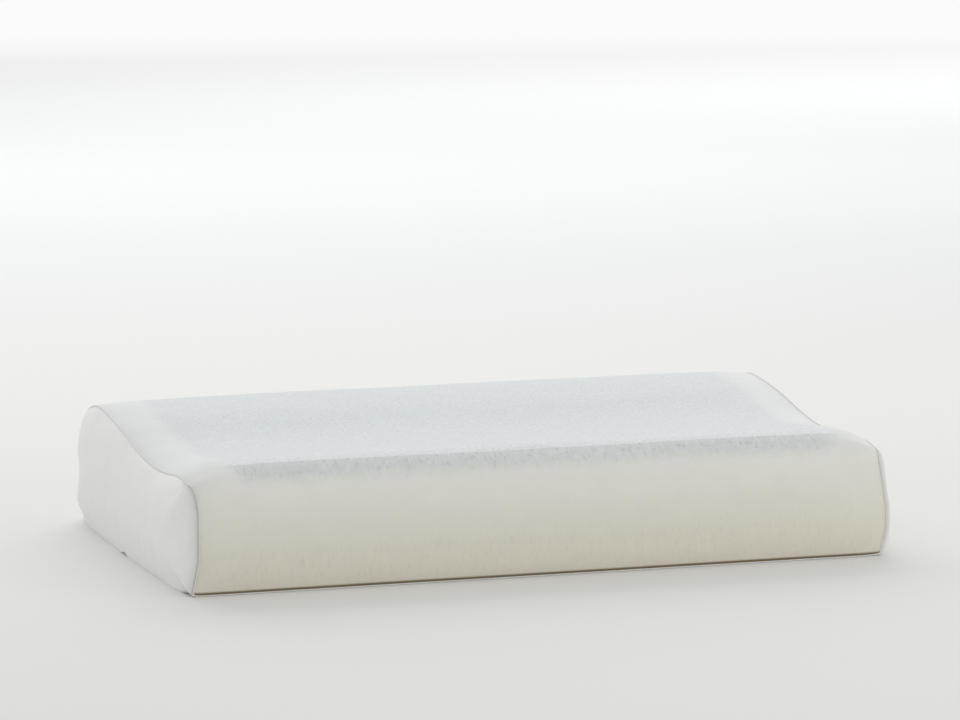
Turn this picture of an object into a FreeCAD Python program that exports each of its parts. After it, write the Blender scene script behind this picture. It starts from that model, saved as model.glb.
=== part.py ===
import FreeCAD, Part
import math
import os
import Sketcher

# Contour bed pillow: a moulded foam core with a gel pad in its top, inside a sewn cover that
# opens with a coil zip at the back. Millimetres. The origin is the middle of the face that it
# rests on: +X along its length, -Y the low front lobe, +Y the high back lobe, +Z up.

doc = FreeCAD.newDocument("ContourPillow")

# name, value, what it is
driving_sizes = [
    ("pillow_length", 512.0, "over both end panels"),
    ("front_reach", 155.0, "origin to the front face of the cover"),
    ("back_reach", 155.0, "origin to the back face of the cover"),
    ("front_height", 88.5, "top of the front lobe"),
    ("valley_drop", 6.5, "valley below the front lobe"),
    ("back_rise", 6.0, "back lobe above the front lobe"),
    ("front_crest_setback", 37.0, "front lobe's top behind the front face"),
    ("valley_setback", 107.0, "valley's lowest line behind the front face"),
    ("back_crest_setback", 57.0, "back lobe's top ahead of the back face"),
    ("front_valley_share", 0.78, "share of the front slope that is hollow"),
    ("back_valley_share", 0.46, "share of the back slope that is hollow"),
    ("lip_radius", 18.0, "round of the front top edge"),
    ("front_crest_radius", 90.0, "round from the front lobe's top to its lip"),
    ("back_crest_radius", 120.0, "round from the back lobe's top to its edge"),
    ("back_edge_radius", 30.0, "round of the back top edge"),
    ("end_round", 14.0, "round where the ends meet the front, top and back"),
    ("cover_thick", 1.2, "knitted cover"),
    ("cover_gap", 0.8, "between the cover and the foam"),
    ("gel_thick", 4.0, "gel pad"),
    ("gel_gap", 0.2, "bond line round and under the gel pad"),
    ("gel_end_margin", 34.0, "bare foam at each end of the gel pad"),
    ("gel_front_margin", 8.5, "front face to the gel pad"),
    ("gel_back_margin", 28.0, "back face to the gel pad"),
    ("gel_corner", 18.0, "corner radius of the gel pad, seen from above"),
    ("seam_setback", 6.0, "middle of an end seam to the end of the pillow"),
    ("seam_width", 2.0, "sewn ridge along a seam"),
    ("seam_proud", 0.6, "seam ridge above the cover"),
    ("front_seam_lift", 0.3, "cover's floor to the seam along the front bottom edge"),
    ("zip_height", 18.0, "middle of the zip above the base"),
    ("zip_length", 440.0, "coil between its stops"),
    ("tape_width", 11.0, "one zip tape"),
    ("tape_thick", 0.5, "zip tape"),
    ("tape_end", 8.0, "tape past the coil at each end"),
    ("coil_width", 1.7, "one coil, across the tape"),
    ("coil_height", 1.5, "coil above its tape"),
    ("stop_length", 3.0, "zip stop"),
    ("stop_height", 1.8, "zip stop above its tape"),
    ("stop_gap", 0.5, "closed slider to the top stops"),
    ("slider_length", 10.0, "along the zip"),
    ("slider_clearance", 0.2, "slider to tape and coil, every way"),
    ("slot_clearance", 0.6, "slider's inner plate to the cover, each side"),
    ("plate_thick", 1.0, "slider's inner and outer plates"),
    ("flange_thick", 0.8, "slider's side flanges"),
    ("neck_thick", 1.0, "slider's neck between the coils"),
    ("neck_length", 3.6, "slider's neck along the zip"),
    ("bridge_length", 6.4, "slider's bridge along the zip"),
    ("bridge_width", 1.8, "slider's bridge across the zip"),
    ("bridge_thick", 1.0, "metal of the bridge"),
    ("bridge_room", 1.8, "space under the bridge"),
    ("crossbar_radius", 0.55, "pull's crossbar under the bridge"),
    ("pull_clearance", 0.25, "pull to the bridge, every way"),
    ("pull_arm", 0.9, "width of each arm beside the bridge"),
    ("pull_width", 6.0, "pull tab across the zip"),
    ("pull_tab", 22.0, "pull tab beyond its eye"),
    ("stitch_width", 0.6, "thread across its row"),
    ("stitch_height", 0.4, "thread above the tape"),
    ("stitch_setback", 1.8, "edge of the cover to the row of thread"),
    ("label_length", 38.0, "blank care label along the back"),
    ("label_tall", 22.0, "blank care label"),
    ("label_thick", 0.3, "blank care label"),
    ("label_lift", 8.0, "upper zip tape to the label"),
    ("label_inset", 6.0, "rounded end of the back to the label"),
]


class Size:
    # One size as expression text and as a number, so that each sum is written once.
    def __init__(self, text, value):
        self.text = text
        self.value = value

    def __add__(self, other):
        other = as_size(other)
        return Size(f"({self.text} + {other.text})", self.value + other.value)

    def __sub__(self, other):
        other = as_size(other)
        return Size(f"({self.text} - {other.text})", self.value - other.value)

    def __mul__(self, other):
        other = as_size(other)
        return Size(f"({self.text} * {other.text})", self.value * other.value)

    def __truediv__(self, other):
        other = as_size(other)
        return Size(f"({self.text} / {other.text})", self.value / other.value)

    def __neg__(self):
        return Size(f"(0 - {self.text})", -self.value)


def as_size(item):
    if isinstance(item, Size):
        return item
    return Size(str(item), float(item))


sheet = doc.addObject("Spreadsheet::Sheet", "Sizes")
sizes = {}
for row, (alias, value, note) in enumerate(driving_sizes, start=1):
    sheet.set(f"A{row}", alias)
    sheet.set(f"B{row}", str(value))
    sheet.set(f"C{row}", note)
    sheet.setAlias(f"B{row}", alias)
    sizes[alias] = Size(f"Sizes.{alias}", value)
doc.recompute()


def bind(item, prop, size):
    item.setExpression(prop, as_size(size).text)


# Places that several pieces share.
nothing = as_size(0)
half_length = sizes["pillow_length"] / 2
foam_inset = sizes["cover_thick"] + sizes["cover_gap"]
valley_height = sizes["front_height"] - sizes["valley_drop"]
back_height = sizes["front_height"] + sizes["back_rise"]
seam_place = half_length - sizes["seam_setback"]
seam_half = sizes["seam_width"] / 2
zip_place = sizes["zip_height"]
back_face = sizes["back_reach"]
half_zip = sizes["zip_length"] / 2
beyond = sizes["pillow_length"] * 2


# Foam, cover and seams: one wave outline, set in by different amounts.

def blend_sum(span, drop):
    # Two tangent arcs that join level points a span apart and a drop apart in height: the sum
    # of their radii.
    return (span * span + drop * drop) / (drop * 2)


front_blend = blend_sum(sizes["valley_setback"] - sizes["front_crest_setback"], sizes["valley_drop"])
back_blend = blend_sum(
    sizes["front_reach"] + sizes["back_reach"] - sizes["valley_setback"] - sizes["back_crest_setback"],
    sizes["valley_drop"] + sizes["back_rise"],
)


def arc(centre, radius, first, last):
    circle = Part.Circle(FreeCAD.Vector(centre[0], centre[1], 0), FreeCAD.Vector(0, 0, 1), radius)
    return Part.ArcOfCircle(circle, first, last)


def segment(first, last):
    return Part.LineSegment(FreeCAD.Vector(first[0], first[1], 0), FreeCAD.Vector(last[0], last[1], 0))


def edge_centre(crest, crest_radius, edge_radius, face_y):
    # Centre of the arc that leaves a vertical face and runs into the crest's arc.
    inward = -1 if face_y > 0 else 1
    centre_y = face_y + inward * edge_radius
    low_centre = crest[1] - crest_radius
    rise = math.sqrt((crest_radius - edge_radius) ** 2 - (centre_y - crest[0]) ** 2)
    return centre_y, low_centre + rise


def heading(start, end):
    return math.atan2(end[1] - start[1], end[0] - start[0])


def draw_wave(sketch, inset, floor):
    # Outline seen along X: up the front face, over both lobes and down the back. The arcs start
    # where the constraints will hold them, so that the solver has nothing to search for.
    front_y = inset.value - sizes["front_reach"].value
    back_y = back_face.value - inset.value
    crest_y = sizes["front_crest_setback"].value - sizes["front_reach"].value
    valley_y = sizes["valley_setback"].value - sizes["front_reach"].value
    far_y = back_face.value - sizes["back_crest_setback"].value
    radius = {
        "lip": sizes["lip_radius"] - inset,
        "crest_out": sizes["front_crest_radius"] - inset,
        "crest_in": front_blend * (as_size(1) - sizes["front_valley_share"]) - inset,
        "valley_front": front_blend * sizes["front_valley_share"] + inset,
        "valley_back": back_blend * sizes["back_valley_share"] + inset,
        "far_in": back_blend * (as_size(1) - sizes["back_valley_share"]) - inset,
        "far_out": sizes["back_crest_radius"] - inset,
        "edge": sizes["back_edge_radius"] - inset,
    }
    crest = (crest_y, sizes["front_height"].value - inset.value)
    valley = (valley_y, valley_height.value - inset.value)
    far = (far_y, back_height.value - inset.value)
    centre = {
        "crest_out": (crest[0], crest[1] - radius["crest_out"].value),
        "crest_in": (crest[0], crest[1] - radius["crest_in"].value),
        "valley_front": (valley[0], valley[1] + radius["valley_front"].value),
        "valley_back": (valley[0], valley[1] + radius["valley_back"].value),
        "far_in": (far[0], far[1] - radius["far_in"].value),
        "far_out": (far[0], far[1] - radius["far_out"].value),
        "lip": edge_centre(crest, radius["crest_out"].value, radius["lip"].value, front_y),
        "edge": edge_centre(far, radius["far_out"].value, radius["edge"].value, back_y),
    }
    up, down, whole = math.pi / 2, 3 * math.pi / 2, 2 * math.pi
    lip_turn = heading(centre["crest_out"], centre["lip"])
    front_turn = heading(centre["crest_in"], centre["valley_front"])
    back_turn = heading(centre["valley_back"], centre["far_in"])
    edge_turn = heading(centre["far_out"], centre["edge"])
    sweep = {
        "lip": (lip_turn, math.pi),
        "crest_out": (up, lip_turn),
        "crest_in": (front_turn, up),
        "valley_front": (front_turn + math.pi, down),
        "valley_back": (down, back_turn + whole),
        "far_in": (up, back_turn + math.pi),
        "far_out": (edge_turn, up),
        "edge": (0, edge_turn),
    }
    low = floor.value
    index = {"front": sketch.addGeometry(segment((front_y, low), (front_y, centre["lip"][1])))}
    for name, (first, last) in sweep.items():
        index[name] = sketch.addGeometry(arc(centre[name], radius[name].value, first, last))
    index["back"] = sketch.addGeometry(segment((back_y, centre["edge"][1]), (back_y, low)))
    index["base"] = sketch.addGeometry(segment((back_y, low), (front_y, low)))

    # A line, or an arc that is hollow from above, is drawn in the outline's own direction; the
    # other arcs are drawn against it, so their ends swap.
    along = {"front", "valley_front", "valley_back", "back", "base"}
    chain = list(index)
    for here, after in zip(chain, chain[1:] + chain[:1]):
        leaving = 2 if here in along else 1
        entering = 1 if after in along else 2
        kind = "Coincident" if "base" in (here, after) else "Tangent"
        sketch.addConstraint(Sketcher.Constraint(kind, index[here], leaving, index[after], entering))
    sketch.addConstraint(Sketcher.Constraint("Vertical", index["front"]))
    sketch.addConstraint(Sketcher.Constraint("Vertical", index["back"]))
    sketch.addConstraint(Sketcher.Constraint("Horizontal", index["base"]))

    def hold(name, size, *where):
        kind = where[0]
        number = sketch.addConstraint(Sketcher.Constraint(kind, *where[1:], size.value))
        sketch.renameConstraint(number, name)
        bind(sketch, f"Constraints.{name}", size)

    # Level points: the top of the front lobe, the valley's lowest line, the top of the back one.
    start = (index["front"], 1)
    crest_point = (index["crest_out"], 1)
    valley_point = (index["valley_front"], 2)
    far_point = (index["far_out"], 2)
    for name, point in (("crest_out", crest_point), ("valley_front", valley_point), ("far_out", far_point)):
        sketch.addConstraint(Sketcher.Constraint("Vertical", index[name], 3, point[0], point[1]))
    for name in ("lip", "crest_out", "crest_in", "valley_back", "far_out", "edge"):
        hold(f"radius_{name}", radius[name], "Radius", index[name])
    hold("front_face", sizes["front_reach"] - inset, "DistanceX", *start, -1, 1)
    hold("back_face", back_face - inset, "DistanceX", -1, 1, index["back"], 1)
    hold("crest_place", sizes["front_crest_setback"] - inset, "DistanceX", *start, *crest_point)
    hold("valley_place", sizes["valley_setback"] - inset, "DistanceX", *start, *valley_point)
    hold("far_place", sizes["back_crest_setback"] - inset, "DistanceX", *far_point, index["back"], 1)
    hold("crest_top", sizes["front_height"] - inset, "DistanceY", -1, 1, *crest_point)
    hold("valley_top", valley_height - inset, "DistanceY", -1, 1, *valley_point)
    hold("far_top", back_height - inset, "DistanceY", -1, 1, *far_point)
    hold("base_below", sizes["front_height"] - inset - floor, "DistanceY", *start, *crest_point)


def body_sketch(name, plane_role):
    body = doc.addObject("PartDesign::Body", name)
    body.Label = name
    sketch = body.newObject("Sketcher::SketchObject", f"{name}_outline")
    plane = [item for item in body.Origin.OriginFeatures if item.Role == plane_role][0]
    sketch.AttachmentSupport = [(plane, "")]
    sketch.MapMode = "FlatFace"
    return body, sketch


def wave_block(name, inset, floor):
    # The wave outline drawn out along X, its ends rounded into the front, top and back.
    body, sketch = body_sketch(name, "YZ_Plane")
    draw_wave(sketch, inset, floor)
    pad = body.newObject("PartDesign::Pad", f"{name}_length")
    pad.Profile = sketch
    pad.SideType = "Symmetric"
    bind(pad, "Length", sizes["pillow_length"] - inset * 2)
    doc.recompute()
    end_x = half_length.value - inset.value
    near = 1e-6
    rims = []
    for number, edge in enumerate(pad.Shape.Edges, start=1):
        points = [vertex.Point for vertex in edge.Vertexes]
        at_end = all(abs(abs(point.x) - end_x) < near for point in points)
        on_base = all(abs(point.z - floor.value) < near for point in points)
        if at_end and not on_base:
            rims.append(f"Edge{number}")
    rounds = body.newObject("PartDesign::Fillet", f"{name}_ends")
    rounds.Base = (pad, rims)
    bind(rounds, "Radius", sizes["end_round"] - inset)
    body.Tip = rounds
    return body


def box(name, low, high):
    # A box between two corners, each corner three sizes.
    block = doc.addObject("Part::Box", name)
    block.Label = name
    for side, start, end in zip(("Length", "Width", "Height"), low, high):
        bind(block, side, as_size(end) - start)
    for axis, start in zip("xyz", low):
        bind(block, f"Placement.Base.{axis}", start)
    return block


def cut(name, base, tool):
    result = doc.addObject("Part::Cut", name)
    result.Label = name
    result.Base = base
    result.Tool = tool
    return result


def common(name, base, tool):
    result = doc.addObject("Part::Common", name)
    result.Label = name
    result.Base = base
    result.Tool = tool
    return result


def fuse(name, pieces):
    result = doc.addObject("Part::MultiFuse", name)
    result.Label = name
    result.Shapes = pieces
    return result


def group(name, pieces):
    result = doc.addObject("Part::Compound", name)
    result.Label = name
    result.Links = pieces
    return result


parts = []


def keep(item):
    parts.append(item)
    return item


# Foam core with the gel pad let into its top.

def rounded_region(name, growth):
    # The gel pad's outline seen from above, as a tall block; growth adds the bond line.
    body, sketch = body_sketch(name, "XY_Plane")
    reach_x = half_length - sizes["gel_end_margin"] + growth
    front = sizes["front_reach"] - sizes["gel_front_margin"] + growth
    back = back_face - sizes["gel_back_margin"] + growth
    turn = sizes["gel_corner"]
    wide, near_y, far_y, r = reach_x.value, -front.value, back.value, turn.value
    quarter = math.pi / 2
    sketch.addGeometry(segment((r - wide, near_y), (wide - r, near_y)))
    sketch.addGeometry(arc((wide - r, near_y + r), r, -quarter, 0))
    sketch.addGeometry(segment((wide, near_y + r), (wide, far_y - r)))
    sketch.addGeometry(arc((wide - r, far_y - r), r, 0, quarter))
    sketch.addGeometry(segment((wide - r, far_y), (r - wide, far_y)))
    sketch.addGeometry(arc((r - wide, far_y - r), r, quarter, 2 * quarter))
    sketch.addGeometry(segment((-wide, far_y - r), (-wide, near_y + r)))
    sketch.addGeometry(arc((r - wide, near_y + r), r, 2 * quarter, 3 * quarter))
    sides = sketch.GeometryCount
    for here in range(sides):
        after = (here + 1) % sides
        sketch.addConstraint(Sketcher.Constraint("Tangent", here, 2, after, 1))
    for corner in (3, 5, 7):
        sketch.addConstraint(Sketcher.Constraint("Equal", 1, corner))
    for number, kind in ((0, "Horizontal"), (2, "Vertical"), (4, "Horizontal"), (6, "Vertical")):
        sketch.addConstraint(Sketcher.Constraint(kind, number))
    limits = (
        ("corner", turn, ("Radius", 1)),
        ("right", reach_x, ("DistanceX", -1, 1, 2, 1)),
        ("left", reach_x, ("DistanceX", 6, 1, -1, 1)),
        ("front", front, ("DistanceY", 0, 1, -1, 1)),
        ("back", back, ("DistanceY", -1, 1, 4, 1)),
    )
    for label, size, where in limits:
        number = sketch.addConstraint(Sketcher.Constraint(*where, size.value))
        sketch.renameConstraint(number, label)
        bind(sketch, f"Constraints.{label}", size)
    bind(sketch, "AttachmentOffset.Base.z", valley_height / 2)
    pad = body.newObject("PartDesign::Pad", f"{name}_height")
    pad.Profile = sketch
    bind(pad, "Length", back_height)
    return body


foam_block = wave_block("foam_block", foam_inset, foam_inset)
gel_floor = wave_block("gel_floor", foam_inset + sizes["gel_thick"], foam_inset)
recess_floor = wave_block("recess_floor", foam_inset + sizes["gel_thick"] + sizes["gel_gap"], foam_inset)
recess = cut("gel_recess", rounded_region("recess_region", sizes["gel_gap"]), recess_floor)
keep(cut("foam_core", foam_block, recess))
gel_space = cut("gel_space", rounded_region("gel_region", nothing), gel_floor)
keep(common("gel_pad", foam_block, gel_space))

# Sewn cover: a wrap over the front, top and back, a base panel, two end panels and their seams.

skin = wave_block("cover_skin", nothing, nothing)
inside = wave_block("cover_inside", sizes["cover_thick"], sizes["cover_thick"])
seam_skin = wave_block("seam_skin", -sizes["seam_proud"], nothing)
shell = cut("cover_shell", skin, inside)
seam_shell = cut("seam_shell", seam_skin, inside)

panel_end = seam_place - seam_half
end_start = seam_place + seam_half
seam_low = sizes["cover_thick"] + sizes["front_seam_lift"]
seam_high = seam_low + sizes["seam_width"]
coil_start = sizes["neck_thick"] / 2 + sizes["slider_clearance"]
coil_end = coil_start + sizes["coil_width"]
slider_half = coil_end + sizes["slider_clearance"] + sizes["flange_thick"]
slot_half = slider_half + sizes["slot_clearance"]
slot_end = half_zip + sizes["stop_length"]

middle = box("cover_middle", (-panel_end, -beyond, -beyond), (panel_end, beyond, beyond))
middle_shell = common("middle_shell", shell, middle)
slot = box(
    "zip_slot",
    (-slot_end, nothing, zip_place - slot_half),
    (slot_end, beyond, zip_place + slot_half),
)
back_low = box("back_low", (-beyond, nothing, -beyond), (beyond, beyond, zip_place))
front_low = box("front_low", (-beyond, -beyond, -beyond), (beyond, nothing, seam_low))
front_open = box("front_open", (-beyond, -beyond, -beyond), (beyond, nothing, seam_high))
seam_strip = box("seam_strip", (-panel_end, -beyond, seam_low), (panel_end, nothing, seam_high))

below_wrap = fuse("below_wrap", [front_open, back_low, slot])
keep(cut("wrap_panel", middle_shell, below_wrap))
base_zone = fuse("base_zone", [front_low, back_low])
keep(cut("base_panel", common("base_shell", middle_shell, base_zone), slot))
keep(common("front_seam", seam_shell, seam_strip))

for side, name in ((-1, "left"), (1, "right")):
    inner, outer = (end_start, beyond) if side > 0 else (-beyond, -end_start)
    zone = box(f"{name}_end_zone", (inner, -beyond, -beyond), (outer, beyond, beyond))
    keep(common(f"{name}_end_panel", shell, zone))
    place = seam_place * side
    near_face, far_face = place - seam_half, place + seam_half
    strip = box(f"{name}_seam_zone", (near_face, -beyond, -beyond), (far_face, beyond, beyond))
    keep(common(f"{name}_end_seam", seam_shell, strip))

# Zip: two tapes sewn over the edges of the slot, a coil on each, stops and thread.

tape_reach = half_zip + sizes["tape_end"]
tape_face = back_face + sizes["tape_thick"]
coil_face = tape_face + sizes["coil_height"]
stitch_start = slot_half + sizes["stitch_setback"]
top_stops = []
stitch_rows = []
for side, name in ((-1, "lower"), (1, "upper")):

    def band(start, end):
        # A band beside the zip's middle line, as a lowest and a highest z.
        first, second = zip_place + start * side, zip_place + end * side
        return (first, second) if side > 0 else (second, first)

    low, high = band(coil_start, coil_start + sizes["tape_width"])
    keep(box(f"zip_tape_{name}", (-tape_reach, back_face, low), (tape_reach, tape_face, high)))
    low, high = band(coil_start, coil_end)
    keep(box(f"zip_coil_{name}", (-half_zip, tape_face, low), (half_zip, coil_face, high)))
    stop_face = tape_face + sizes["stop_height"]
    top_stops.append(box(f"top_stop_{name}", (half_zip, tape_face, low), (slot_end, stop_face, high)))
    low, high = band(stitch_start, stitch_start + sizes["stitch_width"])
    thread_face = tape_face + sizes["stitch_height"]
    row_reach = tape_reach - sizes["stitch_width"]
    stitch_rows.append(box(f"stitch_{name}", (-row_reach, tape_face, low), (row_reach, thread_face, high)))

keep(group("zip_top_stops", top_stops))
keep(group("zip_stitching", stitch_rows))
keep(box(
    "zip_bottom_stop",
    (-slot_end, tape_face, zip_place - coil_end),
    (-half_zip, tape_face + sizes["stop_height"], zip_place + coil_end),
))

# Slider: an outer plate with flanges, a neck between the coils and an inner plate in the slot.

slider_place = half_zip - sizes["stop_gap"] - sizes["slider_length"] / 2
slider_back = slider_place - sizes["slider_length"] / 2
slider_front = slider_place + sizes["slider_length"] / 2
plate_low = coil_face + sizes["slider_clearance"]
plate_top = plate_low + sizes["plate_thick"]
inner_top = back_face - sizes["slider_clearance"]
flange_start = slider_half - sizes["flange_thick"]
bridge_low = plate_top + sizes["bridge_room"]
bridge_top = bridge_low + sizes["bridge_thick"]
bridge_half = sizes["bridge_width"] / 2
slider_pieces = [
    box(
        "slider_outer_plate",
        (slider_back, plate_low, zip_place - slider_half),
        (slider_front, plate_top, zip_place + slider_half),
    ),
    box(
        "slider_inner_plate",
        (slider_back, inner_top - sizes["plate_thick"], zip_place - slider_half),
        (slider_front, inner_top, zip_place + slider_half),
    ),
    box(
        "slider_neck",
        (slider_front - sizes["neck_length"], inner_top, zip_place - sizes["neck_thick"] / 2),
        (slider_front, plate_low, zip_place + sizes["neck_thick"] / 2),
    ),
    box(
        "slider_bridge",
        (slider_place - sizes["bridge_length"] / 2, bridge_low, zip_place - bridge_half),
        (slider_place + sizes["bridge_length"] / 2, bridge_top, zip_place + bridge_half),
    ),
]
for side in (-1, 1):
    edges = sorted((slider_half * side, flange_start * side), key=lambda item: item.value)
    slider_pieces.append(box(
        f"slider_flange_{'lower' if side < 0 else 'upper'}",
        (slider_back, tape_face + sizes["slider_clearance"], zip_place + edges[0]),
        (slider_front, plate_low, zip_place + edges[1]),
    ))
    outer = sizes["bridge_length"] / 2
    ends = sorted((outer * side, (outer - sizes["bridge_thick"]) * side), key=lambda item: item.value)
    slider_pieces.append(box(
        f"slider_post_{'back' if side < 0 else 'front'}",
        (slider_place + ends[0], plate_top, zip_place - bridge_half),
        (slider_place + ends[1], bridge_low, zip_place + bridge_half),
    ))
keep(fuse("zip_slider", slider_pieces))

# Pull: a flat tab whose crossbar lies under the slider's bridge, resting towards -X.

pivot_y = plate_top + sizes["bridge_room"] / 2
eye_half = bridge_half + sizes["pull_clearance"]
arm_half = eye_half + sizes["pull_arm"]
eye_end = sizes["bridge_length"] / 2 + (bridge_top - pivot_y) / 2 + sizes["pull_clearance"]
bar = sizes["crossbar_radius"]
blank = fuse("pull_blank", [
    box(
        "pull_arms",
        (slider_place - eye_end, pivot_y - bar, zip_place - arm_half),
        (slider_place, pivot_y + bar, zip_place + arm_half),
    ),
    box(
        "pull_tab_blank",
        (slider_place - eye_end - sizes["pull_tab"], pivot_y - bar, zip_place - sizes["pull_width"] / 2),
        (slider_place - eye_end, pivot_y + bar, zip_place + sizes["pull_width"] / 2),
    ),
])
eye = box(
    "pull_eye",
    (slider_place - eye_end, pivot_y - bar, zip_place - eye_half),
    (slider_place, pivot_y + bar, zip_place + eye_half),
)
crossbar = doc.addObject("Part::Cylinder", "pull_crossbar")
crossbar.Label = "pull_crossbar"
bind(crossbar, "Radius", bar)
bind(crossbar, "Height", arm_half * 2)
bind(crossbar, "Placement.Base.x", slider_place)
bind(crossbar, "Placement.Base.y", pivot_y)
bind(crossbar, "Placement.Base.z", zip_place - arm_half)
keep(fuse("zip_pull", [cut("pull_frame", blank, eye), crossbar]))

# Blank care label sewn flat on the back face, above the zip.

label_low = zip_place + coil_start + sizes["tape_width"] + sizes["label_lift"]
label_end = half_length - sizes["end_round"] - sizes["label_inset"]
keep(box(
    "care_label",
    (-label_end, back_face, label_low),
    (sizes["label_length"] - label_end, back_face + sizes["label_thick"], label_low + sizes["label_tall"]),
))

doc.recompute()

for item in doc.Objects:
    if "Invalid" in item.State or "Error" in item.State:
        raise RuntimeError(f"{item.Label} did not build: {item.State}")
for item in parts:
    if item.Shape.isNull() or not item.Shape.isValid() or not item.Shape.Solids:
        raise RuntimeError(f"{item.Label} has no valid solid")

os.makedirs("parts", exist_ok=True)
for item in parts:
    item.Shape.exportStep(f"parts/{item.Label}.step")
    limits = item.Shape.optimalBoundingBox(False)
    print(f"{item.Label:18s} solids {len(item.Shape.Solids)} volume {item.Shape.Volume:12.1f}"
          f"  x {limits.XMin:8.2f} {limits.XMax:8.2f}  y {limits.YMin:8.2f} {limits.YMax:8.2f}"
          f"  z {limits.ZMin:7.2f} {limits.ZMax:7.2f}")
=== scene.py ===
import math
import bmesh
import bpy
import numpy as np
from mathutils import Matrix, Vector, noise
from mathutils.bvhtree import BVHTree
from mathutils.kdtree import KDTree


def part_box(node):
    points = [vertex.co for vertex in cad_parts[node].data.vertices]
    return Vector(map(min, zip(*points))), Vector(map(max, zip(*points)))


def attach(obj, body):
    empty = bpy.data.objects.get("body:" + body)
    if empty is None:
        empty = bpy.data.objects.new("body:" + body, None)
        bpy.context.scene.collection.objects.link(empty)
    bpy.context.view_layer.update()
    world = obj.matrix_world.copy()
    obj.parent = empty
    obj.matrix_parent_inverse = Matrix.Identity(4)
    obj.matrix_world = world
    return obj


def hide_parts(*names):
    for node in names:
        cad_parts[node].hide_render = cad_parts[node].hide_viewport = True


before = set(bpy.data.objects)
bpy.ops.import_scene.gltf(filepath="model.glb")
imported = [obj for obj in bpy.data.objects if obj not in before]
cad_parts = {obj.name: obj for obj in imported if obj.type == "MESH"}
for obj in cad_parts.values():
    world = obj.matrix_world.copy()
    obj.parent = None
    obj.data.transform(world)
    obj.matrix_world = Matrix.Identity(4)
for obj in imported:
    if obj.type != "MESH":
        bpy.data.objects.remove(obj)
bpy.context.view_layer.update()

mm = 0.001
scene = bpy.context.scene


def note(text):
    print("pillow:", text, flush=True)


# Places from the frame.
wrapLow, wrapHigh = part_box("wrap_panel")
gelLow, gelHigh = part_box("gel_pad")
seamLow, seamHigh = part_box("right_end_seam")
tapeLow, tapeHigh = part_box("zip_tape_lower")
upperTapeLow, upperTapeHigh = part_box("zip_tape_upper")
coilLow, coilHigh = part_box("zip_coil_lower")
upperCoilLow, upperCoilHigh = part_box("zip_coil_upper")
bottomStopLow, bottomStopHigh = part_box("zip_bottom_stop")
topStopLow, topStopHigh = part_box("zip_top_stops")
stitchLow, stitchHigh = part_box("zip_stitching")
sliderLow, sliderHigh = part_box("zip_slider")
pullLow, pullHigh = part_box("zip_pull")
labelLow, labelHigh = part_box("care_label")
seamX = (seamLow.x + seamHigh.x) / 2
zipZ = (tapeHigh.z + upperTapeLow.z) / 2


# The pillow's wave, seen along its length.
pillowForm = {
    "front": -wrapLow.y,              # origin to the front face
    "back": wrapHigh.y,
    "backTop": wrapHigh.z - 2.2 * mm,  # under the frame's height: the cloth swells
    "frontTop": wrapHigh.z - 7.2 * mm,
    "valleyTop": wrapHigh.z - 13.4 * mm,
    "frontCrestIn": 36 * mm,          # behind the front face
    "valleyIn": 107 * mm,
    "backCrestIn": 52 * mm,           # ahead of the back face
    "frontShare": 0.76,               # hollow part of each slope
    "backShare": 0.45,
    "lipRadius": 17 * mm,
    "crestRadius": 80 * mm,
    "farRadius": 90 * mm,
    "edgeRadius": 30 * mm,
    "footRadius": 2.4 * mm,           # bottom corners
    "slotHalf": 4 * mm,
}


def heading(first, second):
    return math.atan2(second[1] - first[1], second[0] - first[0])


def edgeCentre(topY, topZ, topRadius, radius, faceY):
    # Centre of an arc that leaves an upright face and runs into a crest's arc.
    y = faceY + (radius if faceY < 0 else -radius)
    z = topZ - topRadius + math.sqrt((topRadius - radius) ** 2 - (y - topY) ** 2)
    return y, z


def blendSum(span, drop):
    # Radii of two arcs that join level points, added up.
    return (span * span + drop * drop) / (2 * drop)


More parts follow.
